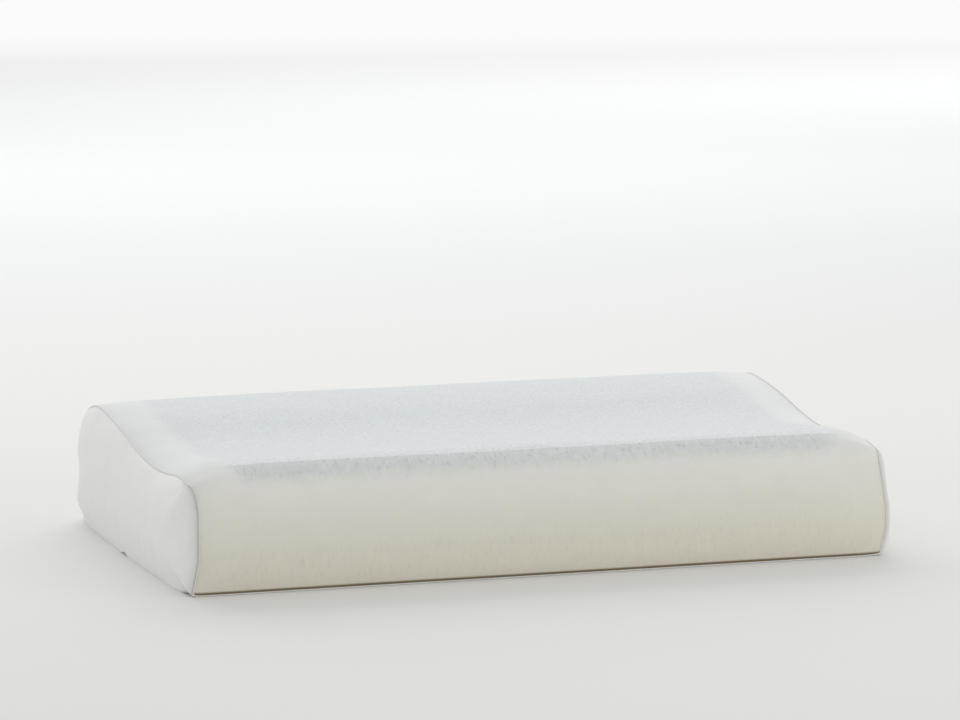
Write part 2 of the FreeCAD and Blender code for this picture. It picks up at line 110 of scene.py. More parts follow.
def waveRuns(form):
    # Lines and arcs from the front hem over the top, down the back and along the base.
    front, back, foot = form["front"], form["back"], form["footRadius"]
    crestY, valleyY, farY = form["frontCrestIn"] - front, form["valleyIn"] - front, back - form["backCrestIn"]
    frontSum = blendSum(valleyY - crestY, form["frontTop"] - form["valleyTop"])
    backSum = blendSum(farY - valleyY, form["backTop"] - form["valleyTop"])
    crestIn, valleyIn = frontSum * (1 - form["frontShare"]), frontSum * form["frontShare"]
    valleyOut, farIn = backSum * form["backShare"], backSum * (1 - form["backShare"])
    lip, crest, far, edge = form["lipRadius"], form["crestRadius"], form["farRadius"], form["edgeRadius"]
    lipAt = edgeCentre(crestY, form["frontTop"], crest, lip, -front)
    edgeAt = edgeCentre(farY, form["backTop"], far, edge, back)
    crestAt, crestInAt = (crestY, form["frontTop"] - crest), (crestY, form["frontTop"] - crestIn)
    valleyInAt, valleyOutAt = ((valleyY, form["valleyTop"] + radius) for radius in (valleyIn, valleyOut))
    farInAt, farAt = (farY, form["backTop"] - farIn), (farY, form["backTop"] - far)
    lipTurn, frontTurn = heading(crestAt, lipAt), heading(crestInAt, valleyInAt)
    backTurn, edgeTurn = heading(valleyOutAt, farInAt), heading(farAt, edgeAt)
    quarter = math.pi / 2
    toeAt, heelAt = (foot - front, foot), (back - foot, foot)
    runs = [
        ("hem", toeAt, foot, (2.5 * quarter, 2 * quarter)),
        ("frontWall", None, (-front, foot), (-front, lipAt[1])),
        ("lip", lipAt, lip, (math.pi, lipTurn)),
        ("crest", crestAt, crest, (lipTurn, quarter)),
        ("crestIn", crestInAt, crestIn, (quarter, frontTurn)),
        ("valley", valleyInAt, -valleyIn, (frontTurn + math.pi, 3 * quarter)),
        ("valleyOut", valleyOutAt, -valleyOut, (3 * quarter, backTurn + 4 * quarter)),
        ("farIn", farInAt, farIn, (backTurn + math.pi, quarter)),
        ("far", farAt, far, (quarter, edgeTurn)),
        ("edge", edgeAt, edge, (edgeTurn, 0)),
        ("backWall", None, (back, edgeAt[1]), (back, foot)),
        ("heel", heelAt, foot, (0, -quarter)),
        ("base", None, (back - foot, 0), (foot - front, 0)),
        ("toe", toeAt, foot, (3 * quarter, 2.5 * quarter)),
    ]
    return runs, edgeAt[1]


def waveOutline(form):
    # Dense closed loop of (y, z) points with outward normals; marks gives where each run starts.
    runs, edgeZ = waveRuns(form)
    step = 0.4 * mm
    points, normals, marks, length = [], [], {}, 0
    for name, centre, size, span in runs:
        marks[name] = length
        if centre is None:
            first, last = np.array(size), np.array(span)
            run = np.linalg.norm(last - first)
            share = np.linspace(0, 1, max(2, int(run / step)))[:, None]
            path = first + (last - first) * share
            out = np.array([-(last - first)[1], (last - first)[0]]) / run
            facing = np.repeat(out[None], len(path), axis=0)
        else:
            run = abs(size) * abs(span[1] - span[0])
            turn = np.linspace(span[0], span[1], max(2, int(run / step)))
            ray = np.stack([np.cos(turn), np.sin(turn)], axis=1)
            path = np.array(centre) + abs(size) * ray
            facing = ray if size > 0 else -ray
        points.append(path[:-1])
        normals.append(facing[:-1])
        length += run
    points = np.concatenate(points + [points[0][:1]])
    normals = np.concatenate(normals + [normals[0][:1]])
    along = np.concatenate([[0], np.cumsum(np.linalg.norm(np.diff(points, axis=0), axis=1))])
    scale = along[-1] / length
    marks = {name: place * scale for name, place in marks.items()}
    marks["slotTop"] = marks["backWall"] + edgeZ - zipZ - form["slotHalf"]
    marks["total"] = along[-1]
    return {"points": points, "normals": normals, "along": along, "marks": marks}


coverGrid = {
    "hemSteps": 2,
    "lowRun": 14 * mm,                # finer steps up to here on the front face
    "lowSteps": 6,
    "wallSteps": 16,
    "topSteps": 58,
    "farSteps": 19,
    "slotSteps": 2,
    "heelSteps": 10,
    "toeSteps": 5,
    "heelRun": 28 * mm,
    "toeRun": 12 * mm,
    "plainHalf": coilHigh.x + 3 * mm,  # even columns up to the slot's ends, finer ones beyond
    "plainColumns": 45,
    "endColumns": 12,
    "endCrowding": 1.7,
    "gussetRings": 12,
    "ringCrowding": 1.7,
}


def sampleLoop(outline, form, grid):
    # Even steps between the places that seams and corners need.
    marks, along = outline["marks"], outline["along"]
    stops = [
        (0, grid["hemSteps"]),
        (marks["frontWall"], grid["lowSteps"]),
        (marks["frontWall"] + grid["lowRun"], grid["wallSteps"]),
        (marks["crest"], grid["topSteps"]),
        (marks["edge"], grid["farSteps"]),
        (marks["slotTop"], grid["slotSteps"]),
        (marks["slotTop"] + 2 * form["slotHalf"], grid["heelSteps"]),
        (marks["base"] + grid["heelRun"], grid["topSteps"]),
        (marks["toe"] - grid["toeRun"], grid["toeSteps"]),
    ]
    ends = [place for place, _ in stops[1:]] + [along[-1]]
    lengths = np.concatenate([
        np.linspace(place, end, steps, endpoint=False)
        for (place, steps), end in zip(stops, ends)
    ])
    y, z = (np.interp(lengths, along, outline["points"][:, axis]) for axis in (0, 1))
    ny, nz = (np.interp(lengths, along, outline["normals"][:, axis]) for axis in (0, 1))
    size = np.hypot(ny, nz)
    counts = np.cumsum([0] + [steps for _, steps in stops])
    return {
        "y": y, "z": z, "ny": ny / size, "nz": nz / size, "lengths": lengths,
        "lipEnd": counts[3], "topEnd": counts[4], "slotTop": counts[5],
        "slotBottom": counts[6], "heelEnd": counts[7], "baseEnd": counts[8],
    }


# The whole cover as one closed net, so that its panels meet exactly at their seams.
endForm = {
    "topWidth": 26 * mm,              # how far in the end rounding starts
    "wallWidth": 9 * mm,
    "frontDrop": 10.5 * mm,           # how far the end seam lies under the mid-length section
    "valleyDrop": 8.5 * mm,
    "backDrop": 1.8 * mm,
    "wallDrop": 0.8 * mm,
    "hemDrop": 0.8 * mm,              # less than the foot's radius
    "hemSeamIn": 0,                   # seam in from the end: at the hem, up the wall, at the lip
    "wallSeamIn": 4.8 * mm,
    "lipSeamIn": 3.2 * mm,
    "footOut": 6.5 * mm,              # seam along the base, out from the end
    "footRun": 30 * mm,
    "hemRun": 24 * mm,
    "lipRun": 10 * mm,
    "topReach": 0.65,                 # share of the quarter ellipse that the wrap covers
    "wallReach": 0.65,
    "frontBulge": 9 * mm,
    "backBulge": 10.5 * mm,
    "bulgeShape": 0.72,
    "footShape": 1.7,
    "rollRise": 3 * mm,               # soft roll beside the upright front seam
    "rollSpread": 3 * mm,
    "topSpread": 28 * mm,             # over which the gusset reaches its fullest
    "backSpread": 34 * mm,
    "wallSpread": 38 * mm,
    "footSpread": 30 * mm,
    "axisFront": (-112 * mm, 40 * mm),
    "axisBack": (108 * mm, 45 * mm),
    "frontBelly": 1.2 * mm,           # crown of the front face
}
rightForm = dict(                     # the right end's upright corner is turned further round
    endForm,
    wallWidth=16 * mm,
    wallDrop=3 * mm,
    hemSeamIn=1 * mm,
    wallSeamIn=-4.5 * mm,
    lipSeamIn=1 * mm,
    hemRun=18 * mm,
    lipRun=34 * mm,
    footOut=4.5 * mm,
    wallReach=0.8,
    frontBulge=11 * mm,
    rollRise=3.5 * mm,
    wallSpread=20 * mm,
)


def loopValues(outline, loop, pairs):
    # A size that changes smoothly round the loop, from its values at the named marks.
    marks = outline["marks"]
    places = [marks[name] if isinstance(name, str) else name for name, _ in pairs]
    return np.interp(loop["lengths"], places, [value for _, value in pairs])


def endSizes(outline, loop, end):
    drop = loopValues(outline, loop, [
        (0, end["hemDrop"]), (14 * mm, end["wallDrop"]), ("lip", end["wallDrop"]),
        ("crest", end["frontDrop"] * 0.9), ("crestIn", end["frontDrop"]),
        ("valleyOut", end["valleyDrop"]), ("far", end["backDrop"]), ("edge", end["backDrop"]),
        ("backWall", end["wallDrop"]), ("heel", end["wallDrop"] / 2), ("base", 0), ("toe", 0),
        ("total", end["hemDrop"]),
    ])
    width = loopValues(outline, loop, [
        (0, end["wallWidth"]), ("lip", end["wallWidth"]), ("crest", end["topWidth"]),
        ("edge", end["topWidth"]), ("backWall", end["wallWidth"]), ("total", end["wallWidth"]),
    ])
    marks = outline["marks"]
    middle = (marks["base"] + marks["toe"]) / 2
    seam = seamX - loopValues(outline, loop, [
        (0, end["hemSeamIn"]), (end["hemRun"], end["wallSeamIn"]),
        (marks["lip"] - end["lipRun"], end["wallSeamIn"]), ("lip", end["lipSeamIn"]), ("crest", 0),
        ("heel", 0), (marks["base"] + end["footRun"], -end["footOut"] * 0.7), (middle, -end["footOut"]),
        (marks["toe"] - end["footRun"], -end["footOut"] * 0.7), ("toe", 0), ("total", end["hemSeamIn"]),
    ])
    share = loopValues(outline, loop, [
        (0, end["wallReach"]), ("lip", end["wallReach"]), ("crest", end["topReach"]),
        ("edge", end["topReach"]), ("total", end["wallReach"]),
    ])
    return drop, width, seam, share


def coverNet(outline, loop, form, grid):
    onFront = loop["lengths"] < outline["marks"]["crest"]
    belly = np.where(onFront, np.sin(np.pi * np.clip(loop["z"] / form["frontTop"], 0, 1)), 0)
    plain = np.linspace(0, grid["plainHalf"], grid["plainColumns"])
    gap = 1 - np.arange(1, grid["endColumns"] + 1) / grid["endColumns"]
    fine = seamX - (seamX - grid["plainHalf"]) * gap ** grid["endCrowding"]
    half = np.concatenate([plain, fine])
    sides = []
    for side, end in ((-1, endForm), (1, rightForm)):
        drop, width, seam, reach = endSizes(outline, loop, end)
        share = half[:, None] / seamX
        x = half[:, None] * (1 + (seam / seamX - 1)[None, :] * share ** 8)
        inward = np.clip((x - (seam - width)[None, :]) / width[None, :], 0, 1)
        curve = (1 - np.sqrt(1 - (reach * inward) ** 2)) / (1 - np.sqrt(1 - reach ** 2))
        off = belly * endForm["frontBelly"] * (1 - share ** 6) - drop * curve
        rows = np.stack([side * x, loop["y"] + loop["ny"] * off, loop["z"] + loop["nz"] * off], axis=2)
        sides.append(rows[:0:-1] if side < 0 else rows)
    return np.concatenate(sides)


def gussetNet(ring, loop, outline, end, grid, side):
    # Rings from the seam loop to a line along the middle of the end, bulging outwards.
    lipEnd, topEnd, heelEnd, baseEnd = (loop[key] for key in ("lipEnd", "topEnd", "heelEnd", "baseEnd"))
    marks, flat = outline["marks"], ring[:, 1:]
    steps = np.arange(grid["topSteps"] + 1) / grid["topSteps"]
    along = np.zeros(len(ring))
    along[lipEnd:topEnd + 1] = steps
    along[topEnd:heelEnd + 1] = 1
    along[heelEnd:baseEnd + 1] = steps[::-1]
    axisFront, axisBack = np.array(end["axisFront"]), np.array(end["axisBack"])
    axis = axisFront + (axisBack - axisFront) * along[:, None]
    spread = loopValues(outline, loop, [
        (0, end["wallSpread"]), (marks["lip"] - end["lipRun"], end["wallSpread"]),
        ("lip", end["topSpread"]), ("valleyOut", end["topSpread"]), ("far", end["backSpread"]),
        ("heel", end["backSpread"]), (marks["base"] + 10 * mm, end["footSpread"]),
        ("toe", end["footSpread"]), ("total", end["wallSpread"]),
    ])
    span = np.linalg.norm(axis - flat, axis=1)
    spread = np.minimum(spread, span)
    full = seamX + end["frontBulge"] + (end["backBulge"] - end["frontBulge"]) * along
    roll = end["rollRise"] * loopValues(outline, loop, [
        (0, 0.4), (12 * mm, 1), (marks["lip"] - end["lipRun"], 1), ("lip", 0.3), ("crest", 0), ("toe", 0),
        ("total", 0.4),
    ])
    shape = loopValues(outline, loop, [
        (0, end["bulgeShape"]), ("backWall", end["bulgeShape"]), ("heel", end["footShape"]),
        ("toe", end["footShape"]), ("total", end["bulgeShape"]),
    ])
    start = np.abs(ring[:, 0])
    rings = []
    for number in range(1, grid["gussetRings"] + 1):
        q = (number / grid["gussetRings"]) ** grid["ringCrowding"]
        near = np.clip(q * span / spread, 0, 1)
        lift = (1 - (1 - near) ** 2) ** shape
        turn = np.sqrt(1 - (1 - np.clip(q * span / end["rollSpread"], 0, 1)) ** 2)
        x = side * (start + roll * turn + (full - start - roll) * lift)
        rings.append(np.column_stack([x, flat + (axis - flat) * q]))
    return rings


note("cover net")
outline = waveOutline(pillowForm)
loop = sampleLoop(outline, pillowForm, coverGrid)
net = coverNet(outline, loop, pillowForm, coverGrid)
columnCount, loopCount = net.shape[:2]
mainCount = columnCount * loopCount
leftRings = gussetNet(net[0], loop, outline, endForm, coverGrid, -1)
rightRings = gussetNet(net[-1], loop, outline, rightForm, coverGrid, 1)
points = np.concatenate([net.reshape(-1, 3)] + leftRings + rightRings)
clothPlace = np.concatenate([
    np.column_stack([net.reshape(-1, 3)[:, 0], np.tile(loop["lengths"], columnCount)]),
    points[mainCount:, 1:],
])


def mainIndex(column, place):
    return column * loopCount + place % loopCount


def gussetIndex(side, ring, place):
    # Ring 0 is the seam loop itself.
    if ring == 0:
        return mainIndex(0 if side < 0 else columnCount - 1, place)
    start = mainCount + (0 if side < 0 else len(leftRings) * loopCount)
    return start + (ring - 1) * loopCount + place % loopCount


def inSlot(column, place):
    half = coverGrid["plainHalf"] + 1 * mm
    across = max(abs(net[column, 0, 0]), abs(net[column + 1, 0, 0]))
    return loop["slotTop"] <= place < loop["slotBottom"] and across < half


def netPanels():
    found = {"wrap": [], "base": [], "leftEnd": [], "rightEnd": [], "slot": []}
    zipPlace = (loop["slotTop"] + loop["slotBottom"]) // 2
    for column in range(columnCount - 1):
        for place in range(loopCount):
            quad = (
                mainIndex(column + 1, place), mainIndex(column + 1, place + 1),
                mainIndex(column, place + 1), mainIndex(column, place),
            )
            name = "slot" if inSlot(column, place) else "wrap" if place < zipPlace else "base"
            found[name].append(quad)
    for side, name in ((-1, "leftEnd"), (1, "rightEnd")):
        for ring in range(coverGrid["gussetRings"]):
            for place in range(loopCount):
                quad = (
                    gussetIndex(side, ring, place), gussetIndex(side, ring, place + 1),
                    gussetIndex(side, ring + 1, place + 1), gussetIndex(side, ring + 1, place),
                )
                found[name].append(quad if side < 0 else quad[::-1])
    return found


def weld(points, panels):
    # The innermost rings meet on a line: equal places get one number, and thin faces go.
    keys, kept, remap = {}, [], np.zeros(len(points), int)
    for index, key in enumerate(map(tuple, np.round(points * 1e7).astype(int))):
        if key not in keys:
            keys[key] = len(kept)
            kept.append(index)
        remap[index] = keys[key]
    clean = {}
    for name, quads in panels.items():
        faces = [list(dict.fromkeys(int(remap[corner]) for corner in quad)) for quad in quads]
        clean[name] = [face for face in faces if len(face) > 2]
    return kept, clean, remap


kept, panels, remap = weld(points, netPanels())
points, clothPlace = points[kept], clothPlace[kept]
leftSeam = remap[[mainIndex(0, place) for place in range(loopCount)]]
rightSeam = remap[[mainIndex(columnCount - 1, place) for place in range(loopCount)]]
frontSeam = remap[[mainIndex(column, 0) for column in range(columnCount)]]
allFaces = [face for faces in panels.values() for face in faces]
note(f"net has {len(points)} points, {len(allFaces)} faces")


# Mesh helpers.
def meshObject(name, verts, faces, edges=()):
    mesh = bpy.data.meshes.new(name)
    mesh.from_pydata([tuple(vert) for vert in verts], list(edges), faces)
    mesh.update()
    item = bpy.data.objects.new(name, mesh)
    scene.collection.objects.link(item)
    mesh.shade_smooth()
    return item


def coordinates(mesh):
    values = np.empty(len(mesh.vertices) * 3)
    mesh.vertices.foreach_get("co", values)
    return values.reshape(-1, 3)


def setCoordinates(mesh, values):
    mesh.vertices.foreach_set("co", np.ascontiguousarray(values).ravel())
    mesh.update()


def facings(mesh):
    values = np.empty(len(mesh.vertices) * 3)
    mesh.vertex_normals.foreach_get("vector", values)
    return values.reshape(-1, 3)


def finalMesh(item):
    bpy.context.view_layer.update()
    depsgraph = bpy.context.evaluated_depsgraph_get()
    return bpy.data.meshes.new_from_object(item.evaluated_get(depsgraph))


def settle(item):
    # Turns an object's modifiers into plain mesh.
    mesh, old = finalMesh(item), item.data
    item.modifiers.clear()
    item.data = mesh
    bpy.data.meshes.remove(old)
    return item


def walled(item, thickness):
    # Gives an open sheet its thickness, inwards from its face.
    wall = item.modifiers.new("wall", "SOLIDIFY")
    wall.thickness = thickness
    wall.offset = -1
    return settle(item)


def rimmed(item, width):
    # Bevels every sharp edge.
    rim = item.modifiers.new("rim", "BEVEL")
    rim.width = width
    rim.segments = 2
    rim.limit_method = "ANGLE"
    return settle(item)


def gridFaces(columns, rows):
    return [
        (i * rows + j, i * rows + j + 1, (i + 1) * rows + j + 1, (i + 1) * rows + j)
        for i in range(columns - 1) for j in range(rows - 1)
    ]


def remove(item):
    mesh = item.data
    bpy.data.objects.remove(item)
    bpy.data.meshes.remove(mesh)


def smoothStep(values, low, high):
    share = np.clip((values - low) / (high - low), 0, 1)
    return share * share * (3 - 2 * share)


# Places along the left hem where the end panel lifts off the table.
hemLifts = [
    {"middle": 9 * mm, "half": 10 * mm, "rise": 2.4 * mm},
    {"middle": -145 * mm, "half": 8 * mm, "rise": 1.8 * mm},
]


def liftHem(points):
    lifted = points.copy()
    for lift in hemLifts:
        near = np.clip(np.abs(points[:, 1] - lift["middle"]) / lift["half"], 0, 1)
        along = np.cos(near * np.pi / 2) ** 2
        outward = smoothStep(-points[:, 0], seamX - 14 * mm, seamX - 2 * mm)
        low = 1 - smoothStep(points[:, 2], 1 * mm, 16 * mm)
        lifted[:, 2] += lift["rise"] * along * outward * low
    return lifted


points = liftHem(points)


# Cloth simulation: the closed cover is blown up a little, held at its seams, base and zip.
swellForm = {
    "pressure": 4.0,
    "frames": 20,
    "topCap": 1.3 * mm,
    "endCap": 2.6 * mm,
    "smoothing": 3,
}


def heldPoints():
    held = np.zeros(len(points))
    held[leftSeam] = 1
    held[rightSeam] = 1
    held[frontSeam] = 1
    low = points[:, 2] < 1 * mm
    nearZip = (points[:, 1] > pillowForm["back"] - 2 * mm) & (points[:, 2] < upperTapeHigh.z + 3 * mm)
    held[low | nearZip] = 1
    return held


def smoothField(field, faces, held, rounds):
    edges = np.array(sorted({
        (min(a, b), max(a, b)) for face in faces for a, b in zip(face, face[1:] + face[:1])
    }))
    count = np.zeros(len(field))
    np.add.at(count, edges[:, 0], 1)
    np.add.at(count, edges[:, 1], 1)
    for _ in range(rounds):
        total = np.zeros_like(field)
        np.add.at(total, edges[:, 0], field[edges[:, 1]])
        np.add.at(total, edges[:, 1], field[edges[:, 0]])
        field = (field + total / count[:, None]) / 2 * (1 - held)[:, None]
    return field


def swell(form):
    held = heldPoints()
    item = meshObject("clothTry", points, allFaces)
    group = item.vertex_groups.new(name="held")
    group.add([int(index) for index in np.nonzero(held)[0]], 1.0, "REPLACE")
    cloth = item.modifiers.new("cloth", "CLOTH")
    cloth.settings.quality = 5
    cloth.settings.mass = 0.3
    cloth.settings.use_pressure = True
    cloth.settings.uniform_pressure_force = form["pressure"]
    cloth.settings.vertex_group_mass = "held"
    cloth.settings.effector_weights.gravity = 0
    cloth.point_cache.frame_start = 1
    cloth.point_cache.frame_end = form["frames"]
    for number in range(1, form["frames"] + 1):
        scene.frame_set(number)
    moved = coordinates(settle(item).data) - points
    remove(item)
    scene.frame_set(1)
    outer = smoothStep(np.abs(points[:, 0]), seamX - 1 * mm, seamX + 3 * mm)
    cap = form["topCap"] + (form["endCap"] - form["topCap"]) * outer
    size = np.linalg.norm(moved, axis=1)
    capped = cap * np.tanh(size / cap)
    moved *= (capped / np.maximum(size, 1e-9))[:, None]
    moved = smoothField(moved, allFaces, held, form["smoothing"])
    note(f"cloth moved up to {np.linalg.norm(moved, axis=1).max() / mm:.2f} mm")
    return points + moved


note("cloth simulation")
points = swell(swellForm)

coverTry = meshObject("coverTry", points, allFaces)
coverFacing = facings(coverTry.data)
remove(coverTry)


# Seams: a shallow groove along every sewn edge, with puckers beside it.
seamForm = {
    "groove": 0.4 * mm,
    "rightGroove": 0.15 * mm,
    "grooveReach": 2.0 * mm,
    "hemGroove": 0.5 * mm,
    "pucker": 0.28 * mm,
    "puckerReach": 9 * mm,
    "puckerPitch": 16 * mm,
    "bead": 0.45 * mm,
    "tuck": 2.0 * mm,                 # bead under the pillow, in from the edge
    "beadSink": 0.25 * mm,            # bead's middle over the groove's floor
    "stitchPitch": 3.2 * mm,
    "stitchLength": 2.1 * mm,
    "stitchThread": 0.24 * mm,
}


def densePath(values, times, closed):
    values = np.concatenate([values, values[:1]]) if closed else values
    old = np.arange(len(values))
    new = np.linspace(0, len(values) - 1, (len(values) - 1) * times + 1)
    return np.column_stack([np.interp(new, old, values[:, axis]) for axis in range(values.shape[1])])


def seamPath(indices, depth, closed):
    # Rows of point, outward direction, groove depth and length along the seam.
    rows = densePath(np.column_stack([points[indices], coverFacing[indices]]), 6, closed)
    facing = rows[:, 3:] / np.linalg.norm(rows[:, 3:], axis=1)[:, None]
    steps = np.linalg.norm(np.diff(rows[:, :3], axis=0), axis=1)
    length = np.concatenate([[0], np.cumsum(steps)])
    depths = depth * (1 - 0.9 * smoothStep(-facing[:, 2], 0.3, 0.8))   # flat where it is lain on
    return np.column_stack([rows[:, :3], facing, depths, length])


seamPaths = {
    "leftSeam": seamPath(leftSeam, seamForm["groove"], True),
    "rightSeam": seamPath(rightSeam, seamForm["rightGroove"], True),
    "frontSeam": seamPath(frontSeam, seamForm["hemGroove"], False),
}
seamRows = np.concatenate(list(seamPaths.values()))
seamTree = KDTree(len(seamRows))
for number, row in enumerate(seamRows):
    seamTree.insert(row[:3], number)
seamTree.balance()


def fineCloth(mesh, wave):
    # Grooves, puckers and slow unevenness, moved into the mesh; returns nearness to a seam.
    places, facing = coordinates(mesh), facings(mesh)
    found = [seamTree.find(place) for place in places]
    rows = seamRows[[index for _, index, _ in found]]
    away = np.array([distance for _, _, distance in found])
    groove = np.exp(-(away / seamForm["grooveReach"]) ** 2)
    direction = facing + (rows[:, 3:6] - facing) * np.clip(groove * 1.5, 0, 1)[:, None]
    direction /= np.linalg.norm(direction, axis=1)[:, None]
    pull = np.array([
        noise.noise(Vector((row[7] / seamForm["puckerPitch"] * 2, row[0] * 8, distance / (14 * mm))))
        for row, distance in zip(rows, away)
    ])
    rise = np.exp(-away / seamForm["puckerReach"]) * (1 - groove)
    uneven = np.array([
        noise.noise(Vector(place) / (60 * mm)) + 0.45 * noise.noise(Vector(place) / (22 * mm))
        for place in places
    ])
    settled = smoothStep(places[:, 2], 0.5 * mm, 12 * mm) * (1 - groove)
    nearZip = smoothStep(places[:, 1], pillowForm["back"] - 14 * mm, pillowForm["back"] - 2 * mm)
    nearZip *= 1 - smoothStep(places[:, 2], upperTapeHigh.z, upperTapeHigh.z + 10 * mm)
    settled *= 1 - nearZip
    off = -rows[:, 6] * groove
    off += (seamForm["pucker"] * pull * rise + wave * uneven) * settled
    places = places + direction * off[:, None]
    places[:, 2] = np.maximum(places[:, 2], 0)
    setCoordinates(mesh, places)
    return np.exp(-away / (6 * mm))


def hemCreases(mesh, marks):
    # Faint upright creases where the end panel's hem is gathered.
    places = coordinates(mesh)
    for mark in marks:
        across = np.exp(-((places[:, 1] - mark["y"] - mark["lean"] * places[:, 2]) / mark["width"]) ** 2)
        low = smoothStep(places[:, 2], 5 * mm, 12 * mm) * (1 - smoothStep(places[:, 2], 20 * mm, mark["top"]))
        places[:, 0] += mark["depth"] * across * low
    setCoordinates(mesh, places)


def pickFaces(faces):
    used = sorted({corner for face in faces for corner in face})
    number = {old: new for new, old in enumerate(used)}
    return np.array(used), [[number[corner] for corner in face] for face in faces]


def giveUv(mesh, values):
    layer = mesh.uv_layers.new(name="cloth")
    corners = np.empty(len(mesh.loops), int)
    mesh.loops.foreach_get("vertex_index", corners)
    layer.uv.foreach_set("vector", np.ascontiguousarray(values[corners]).ravel())


def clothPanel(name, faces, places, thickness, wave, creases=()):
    used, own = pickFaces(faces)
    item = meshObject(name, points[used], own)
    giveUv(item.data, places[used])
    finer = item.modifiers.new("finer", "SUBSURF")
    finer.levels = 1
    finer.render_levels = 1
    settle(item)
    near = fineCloth(item.data, wave)
    hemCreases(item.data, creases)
    item.data.attributes.new("seamNear", "FLOAT", "POINT").data.foreach_set("value", near)
    return walled(item, thickness)


panelForm = {
    "thickness": 1.0 * mm,
    "wrapWave": 0.35 * mm,
    "endWave": 0.8 * mm,
    "creases": [
        {"y": -48 * mm, "lean": 0.1, "width": 3.2 * mm, "top": 36 * mm, "depth": 0.7 * mm},
        {"y": -61 * mm, "lean": -0.1, "width": 2.4 * mm, "top": 30 * mm, "depth": 0.5 * mm},
        {"y": -88 * mm, "lean": 0.15, "width": 3.5 * mm, "top": 32 * mm, "depth": 0.5 * mm},
        {"y": 12 * mm, "lean": 0.0, "width": 5 * mm, "top": 30 * mm, "depth": 0.8 * mm},
    ],
}
basePlace = clothPlace.copy()
basePlace[:, 1] += np.where(basePlace[:, 1] < outline["marks"]["crest"], outline["marks"]["total"], 0)
endPlace = points[:, 1:]
thick = panelForm["thickness"]
wrapPanel = clothPanel("wrapPanel", panels["wrap"], clothPlace, thick, panelForm["wrapWave"])
basePanel = clothPanel("basePanel", panels["base"], basePlace, thick, 0)
endWave, creases = panelForm["endWave"], panelForm["creases"]
leftEnd = clothPanel("leftEndPanel", panels["leftEnd"], endPlace, thick, endWave, creases)
rightEnd = clothPanel("rightEndPanel", panels["rightEnd"], endPlace, thick, endWave)
note("cover panels")


# Foam core, hollowed for the gel pad, and the gel pad itself.
foamForm = {
    "inset": 2.6 * mm,                # cover's face to the foam
    "gelThick": 4 * mm,
    "gelEdge": 5 * mm,                # rounding of the hollow's rim
    "gelGap": 0.4 * mm,
    "gelRim": 0.8 * mm,
}
padForm = {
    "halfLength": gelHigh.x - 2 * mm,
    "frontV": outline["marks"]["lip"] + 4 * mm,
    "backV": outline["marks"]["far"] + 24 * mm,
    "corner": 16 * mm,
}


def padDepth(place):
    # 1 inside the gel pad's outline, 0 outside, eased over the rim.
    middle = (padForm["frontV"] + padForm["backV"]) / 2
    half = (padForm["backV"] - padForm["frontV"]) / 2
    over = np.column_stack([np.abs(place[:, 0]) - padForm["halfLength"], np.abs(place[:, 1] - middle) - half])
    outside = np.linalg.norm(np.maximum(over + padForm["corner"], 0), axis=1) - padForm["corner"]
    return 1 - smoothStep(outside, -foamForm["gelEdge"], 0)


def foamCoreMesh():
    depth = foamForm["inset"] + foamForm["gelThick"] * padDepth(clothPlace)
    depth[np.abs(points[:, 0]) > seamX + 1 * mm] = foamForm["inset"]
    return meshObject("foamCore", points - coverFacing * depth[:, None], allFaces)


def gelPadMesh():
    inside = padDepth(clothPlace) > 0.5
    faces = [face for face in panels["wrap"] if all(inside[corner] for corner in face)]
    used, own = pickFaces(faces)
    item = meshObject("gelPad", points[used] - coverFacing[used] * foamForm["inset"], own)
    return rimmed(walled(item, foamForm["gelThick"] - foamForm["gelGap"]), foamForm["gelRim"])


foamCore = foamCoreMesh()
gelPad = gelPadMesh()
note("foam and gel")


# Geometry Nodes: thread, stitches and zip teeth along a path.
def addNode(tree, kind, inputs=None, **settings):
    item = tree.nodes.new(kind)
    for key, value in settings.items():
        setattr(item, key, value)
    for key, value in (inputs or {}).items():
        if isinstance(value, bpy.types.NodeSocket):
            tree.links.new(value, item.inputs[key])
        else:
            item.inputs[key].default_value = value
    return item.outputs


def maths(tree, operation, *values):
    return addNode(tree, "ShaderNodeMath", dict(enumerate(values)), operation=operation)[0]


def plus(tree, first, *others):
    for value in others:
        first = maths(tree, "ADD", first, value)
    return first


def minus(tree, first, second):
    return maths(tree, "SUBTRACT", first, second)


def times(tree, first, *others):
    for value in others:
        first = maths(tree, "MULTIPLY", first, value)
    return first


def joined(tree, x, y, z):
    return addNode(tree, "ShaderNodeCombineXYZ", {"X": x, "Y": y, "Z": z})[0]


def newTree(name, floats):
    tree = bpy.data.node_groups.new(name, "GeometryNodeTree")
    tree.interface.new_socket(name="Path", in_out="INPUT", socket_type="NodeSocketGeometry")
    for label, value in floats.items():
        socket = tree.interface.new_socket(name=label, in_out="INPUT", socket_type="NodeSocketFloat")
        socket.default_value = value
    tree.interface.new_socket(name="Material", in_out="INPUT", socket_type="NodeSocketMaterial")
    tree.interface.new_socket(name="Geometry", in_out="OUTPUT", socket_type="NodeSocketGeometry")
    return tree, tree.nodes.new("NodeGroupInput").outputs


def finishTree(tree, source, geometry):
    real = addNode(tree, "GeometryNodeRealizeInstances", {"Geometry": geometry})[0]
    smooth = addNode(tree, "GeometryNodeSetShadeSmooth", {"Geometry": real})[0]
    painted = addNode(tree, "GeometryNodeSetMaterial", {
        "Geometry": smooth, "Material": source["Material"],
    })[0]
    tree.links.new(painted, tree.nodes.new("NodeGroupOutput").inputs["Geometry"])
    return tree


def pathCurve(tree, source):
    return addNode(tree, "GeometryNodeMeshToCurve", {"Mesh": source["Path"]})[0]


def circle(tree, steps, radius):
    return addNode(tree, "GeometryNodeCurvePrimitiveCircle", {"Resolution": steps, "Radius": radius})[0]


